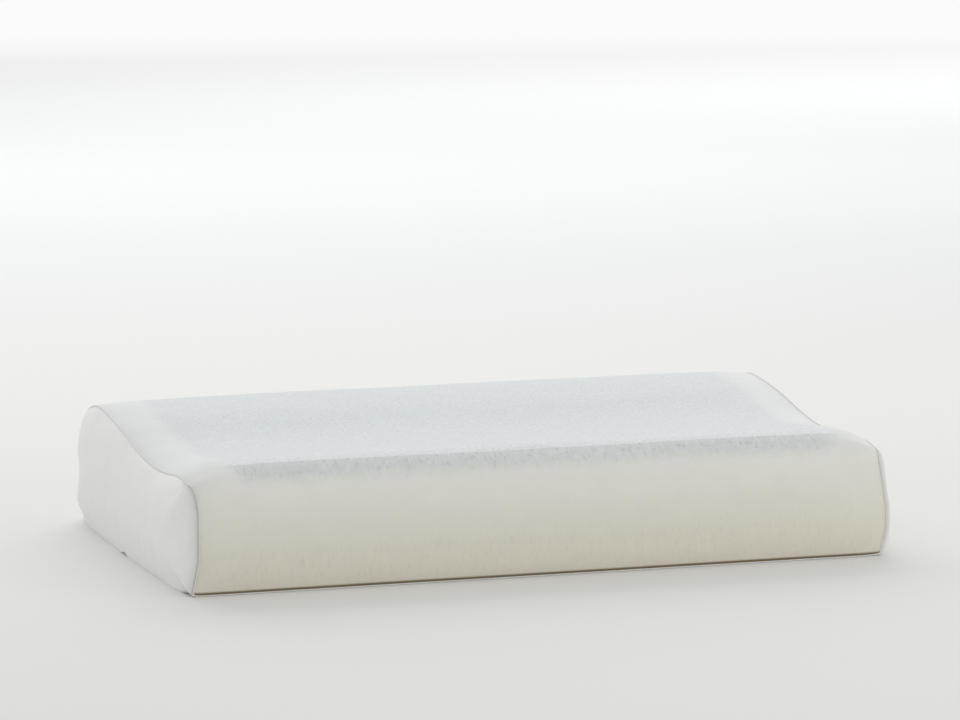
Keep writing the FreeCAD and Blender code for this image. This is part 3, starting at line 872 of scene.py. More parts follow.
def tube(tree, curve, profile, caps=False):
    return addNode(tree, "GeometryNodeCurveToMesh", {
        "Curve": curve, "Profile Curve": profile, "Fill Caps": caps,
    })[0]


def changed(tree, geometry, **change):
    return addNode(tree, "GeometryNodeTransform", dict(change, Geometry=geometry))[0]


def alongPath(tree, source, shape):
    # The shape's X axis turned along the path, once for each pitch.
    spaced = addNode(tree, "GeometryNodeResampleCurve", {
        "Curve": pathCurve(tree, source), "Length": source["Pitch"],
    }, mode="LENGTH")[0]
    tangent = addNode(tree, "GeometryNodeInputTangent")[0]
    turn = addNode(tree, "FunctionNodeAlignRotationToVector", {"Vector": tangent}, axis="X")[0]
    return addNode(tree, "GeometryNodeInstanceOnPoints", {
        "Points": spaced, "Instance": shape, "Rotation": turn,
    })[0]


def threadTree():
    # A round thread that follows the path.
    tree, source = newTree("threadLine", {"Radius": 0.4 * mm})
    line = tube(tree, pathCurve(tree, source), circle(tree, 8, source["Radius"]), caps=True)
    return finishTree(tree, source, line)


def stitchTree():
    # Short rounded stitches in a row.
    tree, source = newTree("stitchRow", {"Pitch": 3 * mm, "Length": 2 * mm, "Thread": 0.25 * mm})
    ball = addNode(tree, "GeometryNodeMeshUVSphere", {"Segments": 6, "Rings": 6, "Radius": 1.0})[0]
    size = joined(tree, times(tree, source["Length"], 0.5), source["Thread"], source["Thread"])
    return finishTree(tree, source, alongPath(tree, source, changed(tree, ball, Scale=size)))


def coilTree():
    # Loops of nylon, each leaning a little, side by side along the path.
    tree, source = newTree("coilRow", {
        "Pitch": 1.2 * mm, "Width": 1.7 * mm, "Height": 1.5 * mm, "Wire": 0.28 * mm, "Lean": 0.16,
    })
    doubled = times(tree, source["Wire"], 2.0)
    wide, tall = (times(tree, minus(tree, source[label], doubled), 0.5) for label in ("Width", "Height"))
    oval = changed(tree, circle(tree, 9, 1.0), Scale=joined(tree, wide, tall, 1.0))
    upright = changed(tree, oval, Rotation=(0, math.pi / 2, 0))
    leaning = changed(tree, upright, Rotation=joined(tree, 0.0, 0.0, source["Lean"]))
    wire = tube(tree, leaning, circle(tree, 5, source["Wire"]))
    return finishTree(tree, source, alongPath(tree, source, wire))


def grow(name, paths, tree, material, **sizes):
    # Runs a tree over edge-only paths and keeps the result as plain mesh.
    verts, edges = [], []
    for path in paths:
        start = len(verts)
        verts.extend(path)
        edges.extend((start + step, start + step + 1) for step in range(len(path) - 1))
    item = meshObject(name, verts, [], edges)
    rule = item.modifiers.new("rule", "NODES")
    rule.node_group = tree
    values = dict(sizes, Material=material)
    for socket in tree.interface.items_tree:
        if socket.in_out == "INPUT" and socket.name in values:
            rule[socket.identifier] = values[socket.name]
    return settle(item)


def growStitches(name, paths, form):
    return grow(
        name, paths, stitches, finish["sewing_thread"], Pitch=form["stitchPitch"],
        Length=form["stitchLength"], Thread=form["stitchThread"],
    )


def joinMeshes(name, items):
    # One mesh out of several pieces that share a material.
    verts, faces, material = [], [], items[0].data.materials[0]
    for item in items:
        start = len(verts)
        verts.extend(vert.co.copy() for vert in item.data.vertices)
        faces.extend([start + corner for corner in polygon.vertices] for polygon in item.data.polygons)
        remove(item)
    whole = meshObject(name, verts, faces)
    whole.data.materials.append(material)
    return whole


# Shader parts that several materials share.
def newShaderGroup(name, inputs, outputs):
    # Every group takes a place first, then plain values, and gives plain values.
    group = bpy.data.node_groups.new(name, "ShaderNodeTree")
    group.interface.new_socket(name="Place", in_out="INPUT", socket_type="NodeSocketVector")
    for label, value in inputs.items():
        socket = group.interface.new_socket(name=label, in_out="INPUT", socket_type="NodeSocketFloat")
        socket.default_value = value
    for label in outputs:
        group.interface.new_socket(name=label, in_out="OUTPUT", socket_type="NodeSocketFloat")
    return group, group.nodes.new("NodeGroupInput").outputs, group.nodes.new("NodeGroupOutput").inputs


def ramp(tree, value, low, high):
    # 0 below low, 1 above high, eased between.
    return addNode(tree, "ShaderNodeMapRange", {
        "Value": value, "From Min": low, "From Max": high,
    }, interpolation_type="SMOOTHSTEP")["Result"]


def blendColor(tree, factor, first, second):
    return addNode(tree, "ShaderNodeMix", {0: factor, 6: first, 7: second}, data_type="RGBA")[2]


def blendValue(tree, factor, first, second):
    return addNode(tree, "ShaderNodeMix", {0: factor, 2: first, 3: second})[0]


def shade(tree, color, *parts):
    # A colour made lighter or darker by a sum of values near 1.
    value = plus(tree, *parts)
    return addNode(tree, "ShaderNodeVectorMath", {0: color, 3: value}, operation="SCALE")[0]


def split(tree, place):
    return addNode(tree, "ShaderNodeSeparateXYZ", {"Vector": place})


def noiseValue(tree, place, scale, detail=2.0, stretch=None):
    if stretch:
        place = addNode(tree, "ShaderNodeMapping", {"Vector": place, "Scale": stretch})[0]
    return addNode(tree, "ShaderNodeTexNoise", {
        "Vector": place, "Scale": scale, "Detail": detail, "Roughness": 0.55,
    })["Fac"]


def knitGroup():
    # Rows of slanting loops: wales side by side across X, courses along Y.
    group, source, target = newShaderGroup(
        "knitLoops", {"Wale": 1.1 * mm, "Course": 0.8 * mm, "Slub": 0.3}, ("Height", "Tint"),
    )
    parts = split(group, source["Place"])
    drift = noiseValue(group, source["Place"], 90.0)
    across = maths(group, "DIVIDE", parts["X"], source["Wale"])
    leg = maths(group, "PINGPONG", plus(group, across, times(group, drift, source["Slub"])), 0.5)
    up = maths(group, "DIVIDE", parts["Y"], source["Course"])
    slant = plus(group, up, times(group, leg, 1.3))
    wave, rounded = (maths(group, "SINE", times(group, way, 2 * math.pi)) for way in (slant, leg))
    height = times(group, maths(group, "MULTIPLY_ADD", wave, 0.3, 0.7), rounded)
    group.links.new(height, target["Height"])
    group.links.new(ramp(group, height, 0.0, 0.55), target["Tint"])
    return group


def fleckGroup():
    # Small dark holes and raised light loops, scattered over the cloth.
    group, source, target = newShaderGroup(
        "knitFlecks", {"Scale": 420.0, "Streak": 1.0}, ("Dark", "Light", "Mottle"),
    )
    stretch = joined(group, 1.0, source["Streak"], 1.0)
    dark = addNode(group, "ShaderNodeVectorMath", {0: source["Place"], 1: stretch}, operation="MULTIPLY")[0]
    light = addNode(group, "ShaderNodeVectorMath", {0: dark, 1: (0.37, 0.11, 0.05)}, operation="ADD")[0]
    for place, label in ((dark, "Dark"), (light, "Light")):
        fine = addNode(group, "ShaderNodeTexNoise", {
            "Vector": place, "Scale": source["Scale"], "Detail": 1.5, "Roughness": 0.6,
        })["Fac"]
        group.links.new(ramp(group, fine, 0.53, 0.70), target[label])
    group.links.new(noiseValue(group, source["Place"], 55.0, 3.0), target["Mottle"])
    return group


def padGroup():
    # 1 where the gel pad lies under the cloth, fading out over a soft, uneven edge.
    group, source, target = newShaderGroup("padUnderCloth", {
        "Half Length": 0.2, "Front": 0.1, "Back": 0.3, "Corner": 0.016, "Softness": 0.006, "Unevenness": 0.01,
    }, ("Mask",))
    parts, front, back = split(group, source["Place"]), source["Front"], source["Back"]
    middle = times(group, plus(group, front, back), 0.5)
    half = times(group, minus(group, back, front), 0.5)
    pastX = minus(group, maths(group, "ABSOLUTE", parts["X"]), source["Half Length"])
    pastY = minus(group, maths(group, "ABSOLUTE", minus(group, parts["Y"], middle)), half)
    cornerX, cornerY = (
        maths(group, "MAXIMUM", plus(group, past, source["Corner"]), 0.0) for past in (pastX, pastY)
    )
    corner = joined(group, cornerX, cornerY, 0.0)
    reach = addNode(group, "ShaderNodeVectorMath", {0: corner}, operation="LENGTH")["Value"]
    wander = minus(group, noiseValue(group, source["Place"], 130.0, 3.0), 0.5)
    outside = minus(group, reach, source["Corner"])
    outside = plus(group, outside, times(group, wander, source["Unevenness"]))
    share = maths(group, "DIVIDE", outside, source["Softness"])
    group.links.new(ramp(group, share, 1.0, -1.0), target["Mask"])
    return group


def wearGroup():
    # Light handling marks on hard pieces: fine scratches, and paler corners.
    group, source, target = newShaderGroup("handlingWear", {"Scale": 900.0}, ("Mark", "Rough"))
    scratch = noiseValue(group, source["Place"], 1.0, 3.0, (300.0, 2400.0, 2400.0))
    corner = ramp(group, addNode(group, "ShaderNodeNewGeometry")["Pointiness"], 0.52, 0.60)
    mark = maths(group, "MAXIMUM", corner, ramp(group, scratch, 0.62, 0.72))
    group.links.new(mark, target["Mark"])
    blotch = addNode(group, "ShaderNodeTexNoise", {
        "Vector": source["Place"], "Scale": source["Scale"], "Detail": 3.0,
    })["Fac"]
    group.links.new(blotch, target["Rough"])
    return group


groups = {"knit": knitGroup(), "flecks": fleckGroup(), "pad": padGroup(), "wear": wearGroup()}


def useGroup(tree, name, **inputs):
    named = {label.replace("_", " "): value for label, value in inputs.items()}
    return addNode(tree, "ShaderNodeGroup", named, node_tree=groups[name])


def newMaterial(name, cloth=False, **constants):
    # Constants go on the shader's own sockets; patterns follow the cloth or the object.
    material = bpy.data.materials.new(name)
    material.use_nodes = True
    tree = material.node_tree
    for label, value in constants.items():
        tree.nodes["Principled BSDF"].inputs[label.replace("_", " ")].default_value = value
    if cloth:
        return material, tree, addNode(tree, "ShaderNodeUVMap", uv_map="cloth")[0]
    return material, tree, addNode(tree, "ShaderNodeTexCoord")["Object"]


def finishMaterial(material, bump=None, **masks):
    # Bump is a height with its strength and distance.
    tree = material.node_tree
    shader = tree.nodes["Principled BSDF"].inputs
    if bump:
        masks["Normal"] = addNode(tree, "ShaderNodeBump", {
            "Height": bump[0], "Strength": bump[1], "Distance": bump[2],
        })[0]
    for label, value in masks.items():
        tree.links.new(value, shader[label.replace("_", " ")])
    return material


def seamNearness(tree):
    return addNode(tree, "ShaderNodeAttribute", attribute_name="seamNear")["Fac"]


def around(tree, value, middle, strength):
    # A pattern's swing to both sides of its middle.
    return times(tree, minus(tree, value, middle), strength)


# Sheer wrap: white knit through which the gel pad and the cream foam show, with painted shade on the lip, the
# front face and the bottom edge, and a painted highlight behind the lip.
wrapLook = {
    "knit": (0.75, 0.77, 0.76, 1),    # bare end margins, over foam in full light
    "gel": (0.675, 0.715, 0.725, 1),
    # painted highlight on the cloth just behind the lip, over the gel
    "behindLipHighlight": (0.76, 0.79, 0.795, 1),
    # gel showing through on the lip, darkened with painted shade
    "shadedLipGel": (0.647, 0.682, 0.671, 1),
    # front face, darker and warmer towards the floor: partly the cream foam showing through, partly painted
    # shade
    "frontHigh": (0.80, 0.80, 0.745, 1),
    "frontMid": (0.765, 0.745, 0.65, 1),
    "frontLow": (0.735, 0.695, 0.60, 1),
    # painted shadow along the bottom edge, where the cloth meets the floor
    "hem": (0.20, 0.155, 0.09, 1),
    "hemShadowRise": 1.4 * mm,
    "gelIn": 9 * mm,                  # where the gel starts to show, behind the pad's front edge
    "gelSoftness": 8 * mm,
    "gelUnevenness": 10 * mm,
    "lipBand": (6.5 * mm, 8.5 * mm),  # end of the darker lip band, past the crest
    # painted highlight behind the lip: gone at the first distance past the crest, full at the second
    "highlightBand": (34 * mm, 8 * mm),
    "bareBand": (-2 * mm, 22 * mm),   # bare cloth turns white, from the lip to past the crest
    "fleckScale": 430.0,
    "lipStreak": 0.3,
    "bareFleck": 0.07,
    "lowFleck": 0.3,
    "darkFleck": 0.16,
    "lightFleck": 0.075,
    "knitTint": 0.012,
    "mottle": 0.06,
    # painted shade beside the seams
    "seamShade": -0.05,
}


def wrapMaterial(look):
    material, tree, place = newMaterial(
        "sheerKnit", cloth=True, Roughness=0.92, Specular_IOR_Level=0.25, Sheen_Weight=0.45,
        Sheen_Roughness=0.35,
    )
    lip, crest = outline["marks"]["lip"], outline["marks"]["crest"]
    up = split(tree, place)["Y"]
    pad = useGroup(
        tree, "pad", Place=place, Half_Length=padForm["halfLength"], Front=padForm["frontV"] + look["gelIn"],
        Back=padForm["backV"], Corner=padForm["corner"], Softness=look["gelSoftness"],
        Unevenness=look["gelUnevenness"],
    )["Mask"]
    # Front face darker and warmer towards the floor: partly the cream foam showing through, partly painted
    # shade.
    front = blendColor(tree, ramp(tree, up, 0.0, lip * 0.6), look["frontLow"], look["frontMid"])
    front = blendColor(tree, ramp(tree, up, lip * 0.35, lip * 1.05), front, look["frontHigh"])
    # Lip band: the gel showing through, darkened with painted shade.
    onLip = ramp(tree, up, *(crest + past for past in look["lipBand"]))
    whiter = ramp(tree, up, lip + look["bareBand"][0], crest + look["bareBand"][1])
    bare = blendColor(tree, whiter, front, look["knit"])
    # Painted highlight on the cloth just behind the lip.
    highlightMask = ramp(tree, up, *(crest + past for past in look["highlightBand"]))
    behind = blendColor(tree, highlightMask, look["gel"], look["behindLipHighlight"])
    color = blendColor(tree, pad, bare, blendColor(tree, onLip, look["shadedLipGel"], behind))
    flecks, streaks = (
        useGroup(tree, "flecks", Place=place, Scale=look["fleckScale"], Streak=streak)
        for streak in (1.0, look["lipStreak"])
    )
    low = times(tree, ramp(tree, up, lip * 0.75, lip * 0.3), look["lowFleck"])
    amount = maths(tree, "MAXIMUM", maths(tree, "MAXIMUM", pad, low), look["bareFleck"])
    band = minus(tree, 1.0, onLip)
    dark, light = (
        times(tree, blendValue(tree, band, flecks[label], streaks[label]), amount)
        for label in ("Dark", "Light")
    )
    knit = useGroup(tree, "knit", Place=place, Wale=1.15 * mm, Course=0.85 * mm, Slub=0.35)
    color = shade(
        tree, color, times(tree, dark, -look["darkFleck"]), times(tree, light, look["lightFleck"]),
        around(tree, knit["Tint"], 0.6, look["knitTint"]),
        around(tree, flecks["Mottle"], 0.5, look["mottle"]),
        times(tree, seamNearness(tree), look["seamShade"]), 1.0,
    )
    # Painted shadow along the bottom edge, where the cloth meets the floor.
    hem = ramp(tree, up, look["hemShadowRise"] * 2.2, look["hemShadowRise"])
    relief = maths(tree, "MULTIPLY_ADD", minus(tree, light, dark), 1.6, knit["Height"])
    return finishMaterial(
        material, Base_Color=blendColor(tree, hem, color, look["hem"]), bump=(relief, 0.2, 0.25 * mm),
    )


# Opaque white knit of the end and base panels.
plainLook = {
    "knit": (0.875, 0.875, 0.86),
    "knitTint": 0.035,
    "mottle": 0.05,
    "pills": -0.02,
    # painted shade beside the seams
    "seamShade": -0.04,
    # painted shade in the crease beside the upright front seams
    "frontShade": -0.36,              # added to it along the upright front edges
    "frontDepth": (-130 * mm, -145 * mm),
}


def plainKnitMaterial(look):
    material, tree, place = newMaterial(
        "plainKnit", cloth=True, Roughness=0.9, Specular_IOR_Level=0.25, Sheen_Weight=0.2,
        Sheen_Roughness=0.5,
    )
    knit = useGroup(tree, "knit", Place=place, Wale=0.95 * mm, Course=0.7 * mm, Slub=0.3)
    flecks = useGroup(tree, "flecks", Place=place, Scale=300.0, Streak=0.8)
    depth = split(tree, addNode(tree, "ShaderNodeTexCoord")["Object"])["Y"]
    # Painted shade near the seams, deepest in the crease beside the upright front seams.
    front = ramp(tree, depth, *look["frontDepth"])
    upright = maths(tree, "MULTIPLY_ADD", front, look["frontShade"], look["seamShade"])
    near = seamNearness(tree)
    color = shade(
        tree, look["knit"], around(tree, knit["Tint"], 0.6, look["knitTint"]),
        around(tree, flecks["Mottle"], 0.5, look["mottle"]), times(tree, flecks["Dark"], look["pills"]),
        times(tree, near, near, upright), 1.0,
    )
    relief = maths(tree, "MULTIPLY_ADD", flecks["Light"], 0.3, knit["Height"])
    return finishMaterial(material, Base_Color=color, bump=(relief, 0.25, 0.2 * mm))


# Colours of the hidden parts and the zip.
hues = {
    "foam": ((0.82, 0.75, 0.57, 1), (0.90, 0.86, 0.72, 1)),
    "poreShade": (0.62, 0.54, 0.36, 1),
    "gel": ((0.20, 0.37, 0.52, 1), (0.38, 0.54, 0.66, 1)),
    "bubble": (0.62, 0.74, 0.80, 1),
    "thread": (0.82, 0.82, 0.80),
    "tape": (0.83, 0.83, 0.80),
    "nylon": ((0.80, 0.80, 0.77, 1), (0.88, 0.88, 0.86, 1)),
    "enamel": ((0.78, 0.78, 0.75, 1), (0.85, 0.85, 0.83, 1)),
    "bareMetal": (0.62, 0.61, 0.58, 1),
    "satin": (0.88, 0.88, 0.86),
}


def cells(tree, place, scale):
    return addNode(tree, "ShaderNodeTexVoronoi", {"Vector": place, "Scale": scale})["Distance"]


def foamMaterial():
    # Cream foam with open pores, their pits darkened with painted shade.
    material, tree, place = newMaterial("creamFoam", Roughness=0.95, Specular_IOR_Level=0.2)
    pores = cells(tree, place, 1100.0)
    color = blendColor(tree, noiseValue(tree, place, 30.0, 4.0), *hues["foam"])
    # Painted shade in the pores' pits.
    color = blendColor(tree, ramp(tree, pores, 0.25, 0.05), color, hues["poreShade"])
    return finishMaterial(material, Base_Color=color, bump=(pores, 0.6, 0.3 * mm))


def gelMaterial():
    # Blue gel with a faint marbling and small bubbles.
    material, tree, place = newMaterial(
        "coolingGel", Specular_IOR_Level=0.5, Coat_Weight=0.3, Coat_Roughness=0.3,
    )
    marble, bubbles = noiseValue(tree, place, 45.0, 5.0, (1.0, 1.6, 1.0)), cells(tree, place, 420.0)
    color = blendColor(tree, marble, *hues["gel"])
    color = blendColor(tree, ramp(tree, bubbles, 0.18, 0.08), color, hues["bubble"])
    rough = ramp(tree, marble, -0.6, 1.6)
    return finishMaterial(material, Base_Color=color, Roughness=rough, bump=(bubbles, 0.2, 0.3 * mm))


def threadMaterial():
    # Twisted thread: fine slanting ply lines and a little fuzz.
    material, tree, place = newMaterial(
        "seamThread", Roughness=0.8, Specular_IOR_Level=0.3, Sheen_Weight=0.15, Sheen_Roughness=0.4,
    )
    turned = addNode(tree, "ShaderNodeMapping", {"Vector": place, "Rotation": (0.6, 0.5, 0.6)})[0]
    ply = addNode(tree, "ShaderNodeTexWave", {
        "Vector": turned, "Scale": 900.0, "Distortion": 2.0, "Detail": 1.0,
    })["Fac"]
    fuzz = times(tree, noiseValue(tree, place, 60.0), -0.08)
    color = shade(tree, hues["thread"], times(tree, ply, 0.16), 0.9, fuzz)
    return finishMaterial(material, Base_Color=color, bump=(ply, 0.4, 0.1 * mm))


def tapeMaterial():
    # Zip tape: herringbone weave with heavier cords along it.
    material, tree, place = newMaterial(
        "zipTape", Roughness=0.85, Specular_IOR_Level=0.3, Sheen_Weight=0.1, Sheen_Roughness=0.5,
    )
    parts = split(tree, place)
    zigzag = maths(tree, "PINGPONG", parts["Z"], 1.4 * mm)
    slant = plus(tree, parts["X"], times(tree, zigzag, 1.2))
    weave = maths(tree, "SINE", times(tree, slant, 2 * math.pi / (0.7 * mm)))
    cords = maths(tree, "SINE", times(tree, parts["Z"], 2 * math.pi / (2.8 * mm)))
    height = plus(tree, times(tree, weave, 0.5), times(tree, cords, 0.4))
    cloud = times(tree, noiseValue(tree, place, 120.0), -0.06)
    color = shade(tree, hues["tape"], times(tree, weave, 0.035), 0.98, cloud)
    return finishMaterial(material, Base_Color=color, bump=(height, 0.5, 0.12 * mm))


def nylonMaterial():
    material, tree, place = newMaterial(
        "coilNylon", Specular_IOR_Level=0.5, Coat_Weight=0.1, Coat_Roughness=0.25,
    )
    cloud = noiseValue(tree, place, 160.0, 3.0)
    return finishMaterial(
        material, Base_Color=blendColor(tree, cloud, *hues["nylon"]), Roughness=ramp(tree, cloud, -0.9, 2.2),
        bump=(noiseValue(tree, place, 900.0), 0.15, 0.05 * mm),
    )


def metalMaterial():
    # White enamel over die-cast metal, rubbed through a little at the corners.
    material, tree, place = newMaterial(
        "zipEnamel", Specular_IOR_Level=0.5, Coat_Weight=0.3, Coat_Roughness=0.2,
    )
    wear = useGroup(tree, "wear", Place=place, Scale=700.0)
    color = blendColor(tree, wear["Rough"], *hues["enamel"])
    return finishMaterial(
        material, Base_Color=blendColor(tree, wear["Mark"], color, hues["bareMetal"]),
        Roughness=maths(tree, "MULTIPLY_ADD", wear["Rough"], 0.3, 0.5),
        Metallic=times(tree, wear["Mark"], 0.6), bump=(wear["Rough"], 0.12, 0.05 * mm),
    )


def satinMaterial():
    # Woven satin of the blank label: long floats along X.
    material, tree, place = newMaterial(
        "labelSatin", Roughness=0.45, Specular_IOR_Level=0.4, Anisotropic=0.4, Sheen_Weight=0.1,
    )
    floats = noiseValue(tree, place, 1.0, 2.0, (500.0, 3000.0, 3000.0))
    color = shade(tree, hues["satin"], times(tree, floats, 0.08), 0.95)
    return finishMaterial(material, Base_Color=color, bump=(floats, 0.25, 0.08 * mm))


finish = {
    "sheer_knit": wrapMaterial(wrapLook),
    "plain_knit": plainKnitMaterial(plainLook),
    "memory_foam": foamMaterial(),
    "cooling_gel": gelMaterial(),
    "sewing_thread": threadMaterial(),
    "zip_tape": tapeMaterial(),
    "zip_nylon": nylonMaterial(),
    "zip_metal": metalMaterial(),
    "label_satin": satinMaterial(),
}
note("materials")


def dress(item, node, slot, body="pillow"):
    item.data.materials.clear()
    item.data.materials.append(finish[slot])
    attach(item, body)
    if node:
        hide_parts(node)


for item, node, slot in (
    (wrapPanel, "wrap_panel", "sheer_knit"),
    (basePanel, "base_panel", "plain_knit"),
    (leftEnd, "left_end_panel", "plain_knit"),
    (rightEnd, "right_end_panel", "plain_knit"),
    (foamCore, "foam_core", "memory_foam"),
    (gelPad, "gel_pad", "cooling_gel"),
):
    dress(item, node, slot)

threads, stitches, coils = threadTree(), stitchTree(), coilTree()
gap = 0.1 * mm                        # clear of the face that a thread lies on


def sewnSeam(name, path):
    # A thread bead in the groove, with stitches across it.
    outward = path[:, 3:6]
    line = path[:, :3] + outward * (seamForm["beadSink"] - path[:, 6])[:, None]
    under = smoothStep(-path[:, 5], 0.3, 0.8) * (name != "frontSeam")
    line[:, 0] -= np.sign(line[:, 0]) * under * seamForm["tuck"]
    line[:, 2] = np.maximum(line[:, 2], seamForm["bead"] + gap)
    bead = grow(name + "Bead", [line], threads, finish["sewing_thread"], Radius=seamForm["bead"])
    over = line + outward * seamForm["bead"]
    over[:, 2] = np.maximum(over[:, 2], seamForm["stitchThread"] + gap)
    return joinMeshes(name, [bead, growStitches(name + "Stitches", [over], seamForm)])


for name, node in (
    ("leftSeam", "left_end_seam"), ("rightSeam", "right_end_seam"), ("frontSeam", "front_seam"),
):
    dress(sewnSeam(name, seamPaths[name]), node, "sewing_thread")
note("seams")


# Zip: woven tapes, nylon coils, stops and stitching.
zipForm = {
    "tapeSteps": 150,
    "tapeRows": 8,
    "tapeThick": 0.45 * mm,
    "tapeWave": 0.12 * mm,
    "toothPitch": 1.2 * mm,
    "wire": 0.27 * mm,
    "overEdge": 0.34 * mm,            # coils reach over the tape's edge, towards each other
    "lean": 0.16,
    "rowIn": 0.3 * mm,
    "stitchPitch": 2.6 * mm,
    "stitchLength": 1.9 * mm,
    "stitchThread": 0.26 * mm,
    "bevel": 0.25 * mm,
    "stopApart": 0.8 * mm,            # each top stop's near edge to the chain's middle
    "topCorner": 0.6 * mm,
    "bottomCorner": 0.7 * mm,
}


def zipTape(name, low, high):
    # Back face on the cover, outer face slightly uneven, with a selvedge at each long side.
    rows = zipForm["tapeRows"]
    verts = []
    for x in np.linspace(low.x, high.x, zipForm["tapeSteps"]):
        for z, side in zip(np.linspace(low.z, high.z, rows), np.abs(np.linspace(-1, 1, rows))):
            wave = noise.noise(Vector((x * 45, z * 90, 3.7))) * (1 - side ** 4)
            verts.append((x, low.y + zipForm["tapeThick"] + zipForm["tapeWave"] * min(0, wave), z))
    item = meshObject(name, verts, gridFaces(zipForm["tapeSteps"], rows))
    return walled(item, zipForm["tapeThick"] - gap)


def zipCoil(name, low, high):
    inward = zipForm["overEdge"] * (1 if high.z < zipZ else -1)
    half, y, z = (high.x - low.x) / 2 - zipForm["wire"], (low.y + high.y) / 2, (low.z + high.z + inward) / 2
    return grow(
        name, [[(-half, y, z), (half, y, z)]], coils, finish["zip_nylon"], Pitch=zipForm["toothPitch"],
        Width=high.y - low.y, Height=high.z - low.z + abs(inward), Wire=zipForm["wire"], Lean=zipForm["lean"],
    )


def weldMesh(mesh):
    work = bmesh.new()
    work.from_mesh(mesh)
    bmesh.ops.remove_doubles(work, verts=work.verts, dist=0.01 * mm)
    bmesh.ops.recalc_face_normals(work, faces=work.faces)
    work.to_mesh(mesh)
    work.free()
    mesh.shade_flat()


def flatPlate(name, outlines, nearY, farY, bevel):
    # A stamped plate: closed outlines in X and Z, holes among them, between two depths.
    curve = bpy.data.curves.new(name, "CURVE")
    curve.dimensions = "2D"
    curve.fill_mode = "BOTH"
    curve.extrude = (farY - nearY) / 2 - bevel
    curve.bevel_depth = bevel
    curve.bevel_resolution = 2
    curve.offset = -bevel
    for corners in outlines:
        spline = curve.splines.new("POLY")
        spline.points.add(len(corners) - 1)
        for point, (x, z) in zip(spline.points, corners):
            point.co = (x, z, 0, 1)
        spline.use_cyclic_u = True
    flat = bpy.data.objects.new(name + "Curve", curve)
    scene.collection.objects.link(flat)
    mesh = finalMesh(flat)
    values = coordinates(mesh)
    middle = (nearY + farY) / 2
    setCoordinates(mesh, np.column_stack([values[:, 0], middle - values[:, 2], values[:, 1]]))
    bpy.data.objects.remove(flat)
    bpy.data.curves.remove(curve)
    item = bpy.data.objects.new(name, mesh)
    scene.collection.objects.link(item)
    weldMesh(mesh)
    return item


def roundedBox(x0, x1, z0, z1, radius, steps=5):
    corners = ((x1 - radius, z1 - radius, 0), (x0 + radius, z1 - radius, 1),
               (x0 + radius, z0 + radius, 2), (x1 - radius, z0 + radius, 3))
    return [
        (cx + radius * math.cos((quarter + step / steps) * math.pi / 2),
         cz + radius * math.sin((quarter + step / steps) * math.pi / 2))
        for cx, cz, quarter in corners for step in range(steps + 1)
    ]


def metalPlate(name, outlines, nearY, farY, bevel):
    item = flatPlate(name, outlines, nearY, farY, bevel)
    item.data.materials.append(finish["zip_metal"])
    return item


def zipStop(name, low, high, z0, z1, corner):
    return metalPlate(name, [roundedBox(low.x, high.x, z0, z1, corner)], low.y, high.y, zipForm["bevel"])


apart, topCorner = zipForm["stopApart"], zipForm["topCorner"]
topStops = joinMeshes("topStops", [
    zipStop("stopUpper", topStopLow, topStopHigh, zipZ + apart, topStopHigh.z, topCorner),
    zipStop("stopLower", topStopLow, topStopHigh, topStopLow.z, zipZ - apart, topCorner),
])
bottomStop = zipStop(
    "bottomStop", bottomStopLow, bottomStopHigh, bottomStopLow.z, bottomStopHigh.z, zipForm["bottomCorner"],
)
dress(zipTape("lowerTape", tapeLow, tapeHigh), "zip_tape_lower", "zip_tape")
dress(zipTape("upperTape", upperTapeLow, upperTapeHigh), "zip_tape_upper", "zip_tape")
dress(zipCoil("lowerCoil", coilLow, coilHigh), "zip_coil_lower", "zip_nylon")
dress(zipCoil("upperCoil", upperCoilLow, upperCoilHigh), "zip_coil_upper", "zip_nylon")
dress(topStops, "zip_top_stops", "zip_metal")
dress(bottomStop, "zip_bottom_stop", "zip_metal")

rowY = tapeLow.y + zipForm["tapeThick"] + gap
zipRows = growStitches("zipStitches", [
    [(stitchLow.x, rowY, z), (stitchHigh.x, rowY, z)]
    for z in (stitchLow.z + zipForm["rowIn"], stitchHigh.z - zipForm["rowIn"])
], zipForm)
dress(zipRows, "zip_stitching", "sewing_thread")
note("zip chain")


# Slider and pull.
sliderForm = {
    "plate": 1.0 * mm,
    "clearance": 0.2 * mm,
    "corner": 1.2 * mm,
    "waist": 0.72,                    # narrow end over wide end
    "flange": 0.8 * mm,
    "flangeIn": 0.6 * mm,
    "neck": 3.6 * mm,
    "neckIn": 0.3 * mm,
    "neckThick": 0.6 * mm,
    "neckCorner": 0.45 * mm,
    "bridgeHalf": 3.2 * mm,
    "bridgeWidth": 1.8 * mm,
    "bridgeThick": 1.0 * mm,
    "bridgeCorner": 1.0 * mm,
    "innerCorner": 0.3 * mm,
    "bevel": 0.2 * mm,
    "smallBevel": 0.1 * mm,
    "overlap": 0.2 * mm,              # parts run this far into each other
}


def wedge(x0, x1, halfWide):
    # Plate outline, wide at the +X end where the coils part, with rounded corners.
    waist = sliderForm["waist"]
    shaped = []
    for x, z in roundedBox(x0, x1, zipZ - halfWide, zipZ + halfWide, sliderForm["corner"]):
        share = (x - x0) / (x1 - x0)
        width = waist + (1 - waist) * (0.5 - 0.5 * math.cos(math.pi * min(1, share * 1.15)))
        shaped.append((x, zipZ + (z - zipZ) * width))
    return shaped


def archSide(x0, x1, y0, y1, inset):
    # One side of the bridge as a line up, over and down, with rounded corners.
    a, b, top = x0 + inset, x1 - inset, y1 - inset
    r = max(sliderForm["bridgeCorner"] - inset, sliderForm["innerCorner"])
    steps = 5
    turns = [step * math.pi / 2 / steps for step in range(steps + 1)]
    first = [(a + r - r * math.cos(turn), top - r + r * math.sin(turn)) for turn in turns]
    second = [(b - r + r * math.sin(turn), top - r + r * math.cos(turn)) for turn in turns]
    return [(a, y0)] + first + second + [(b, y0)]


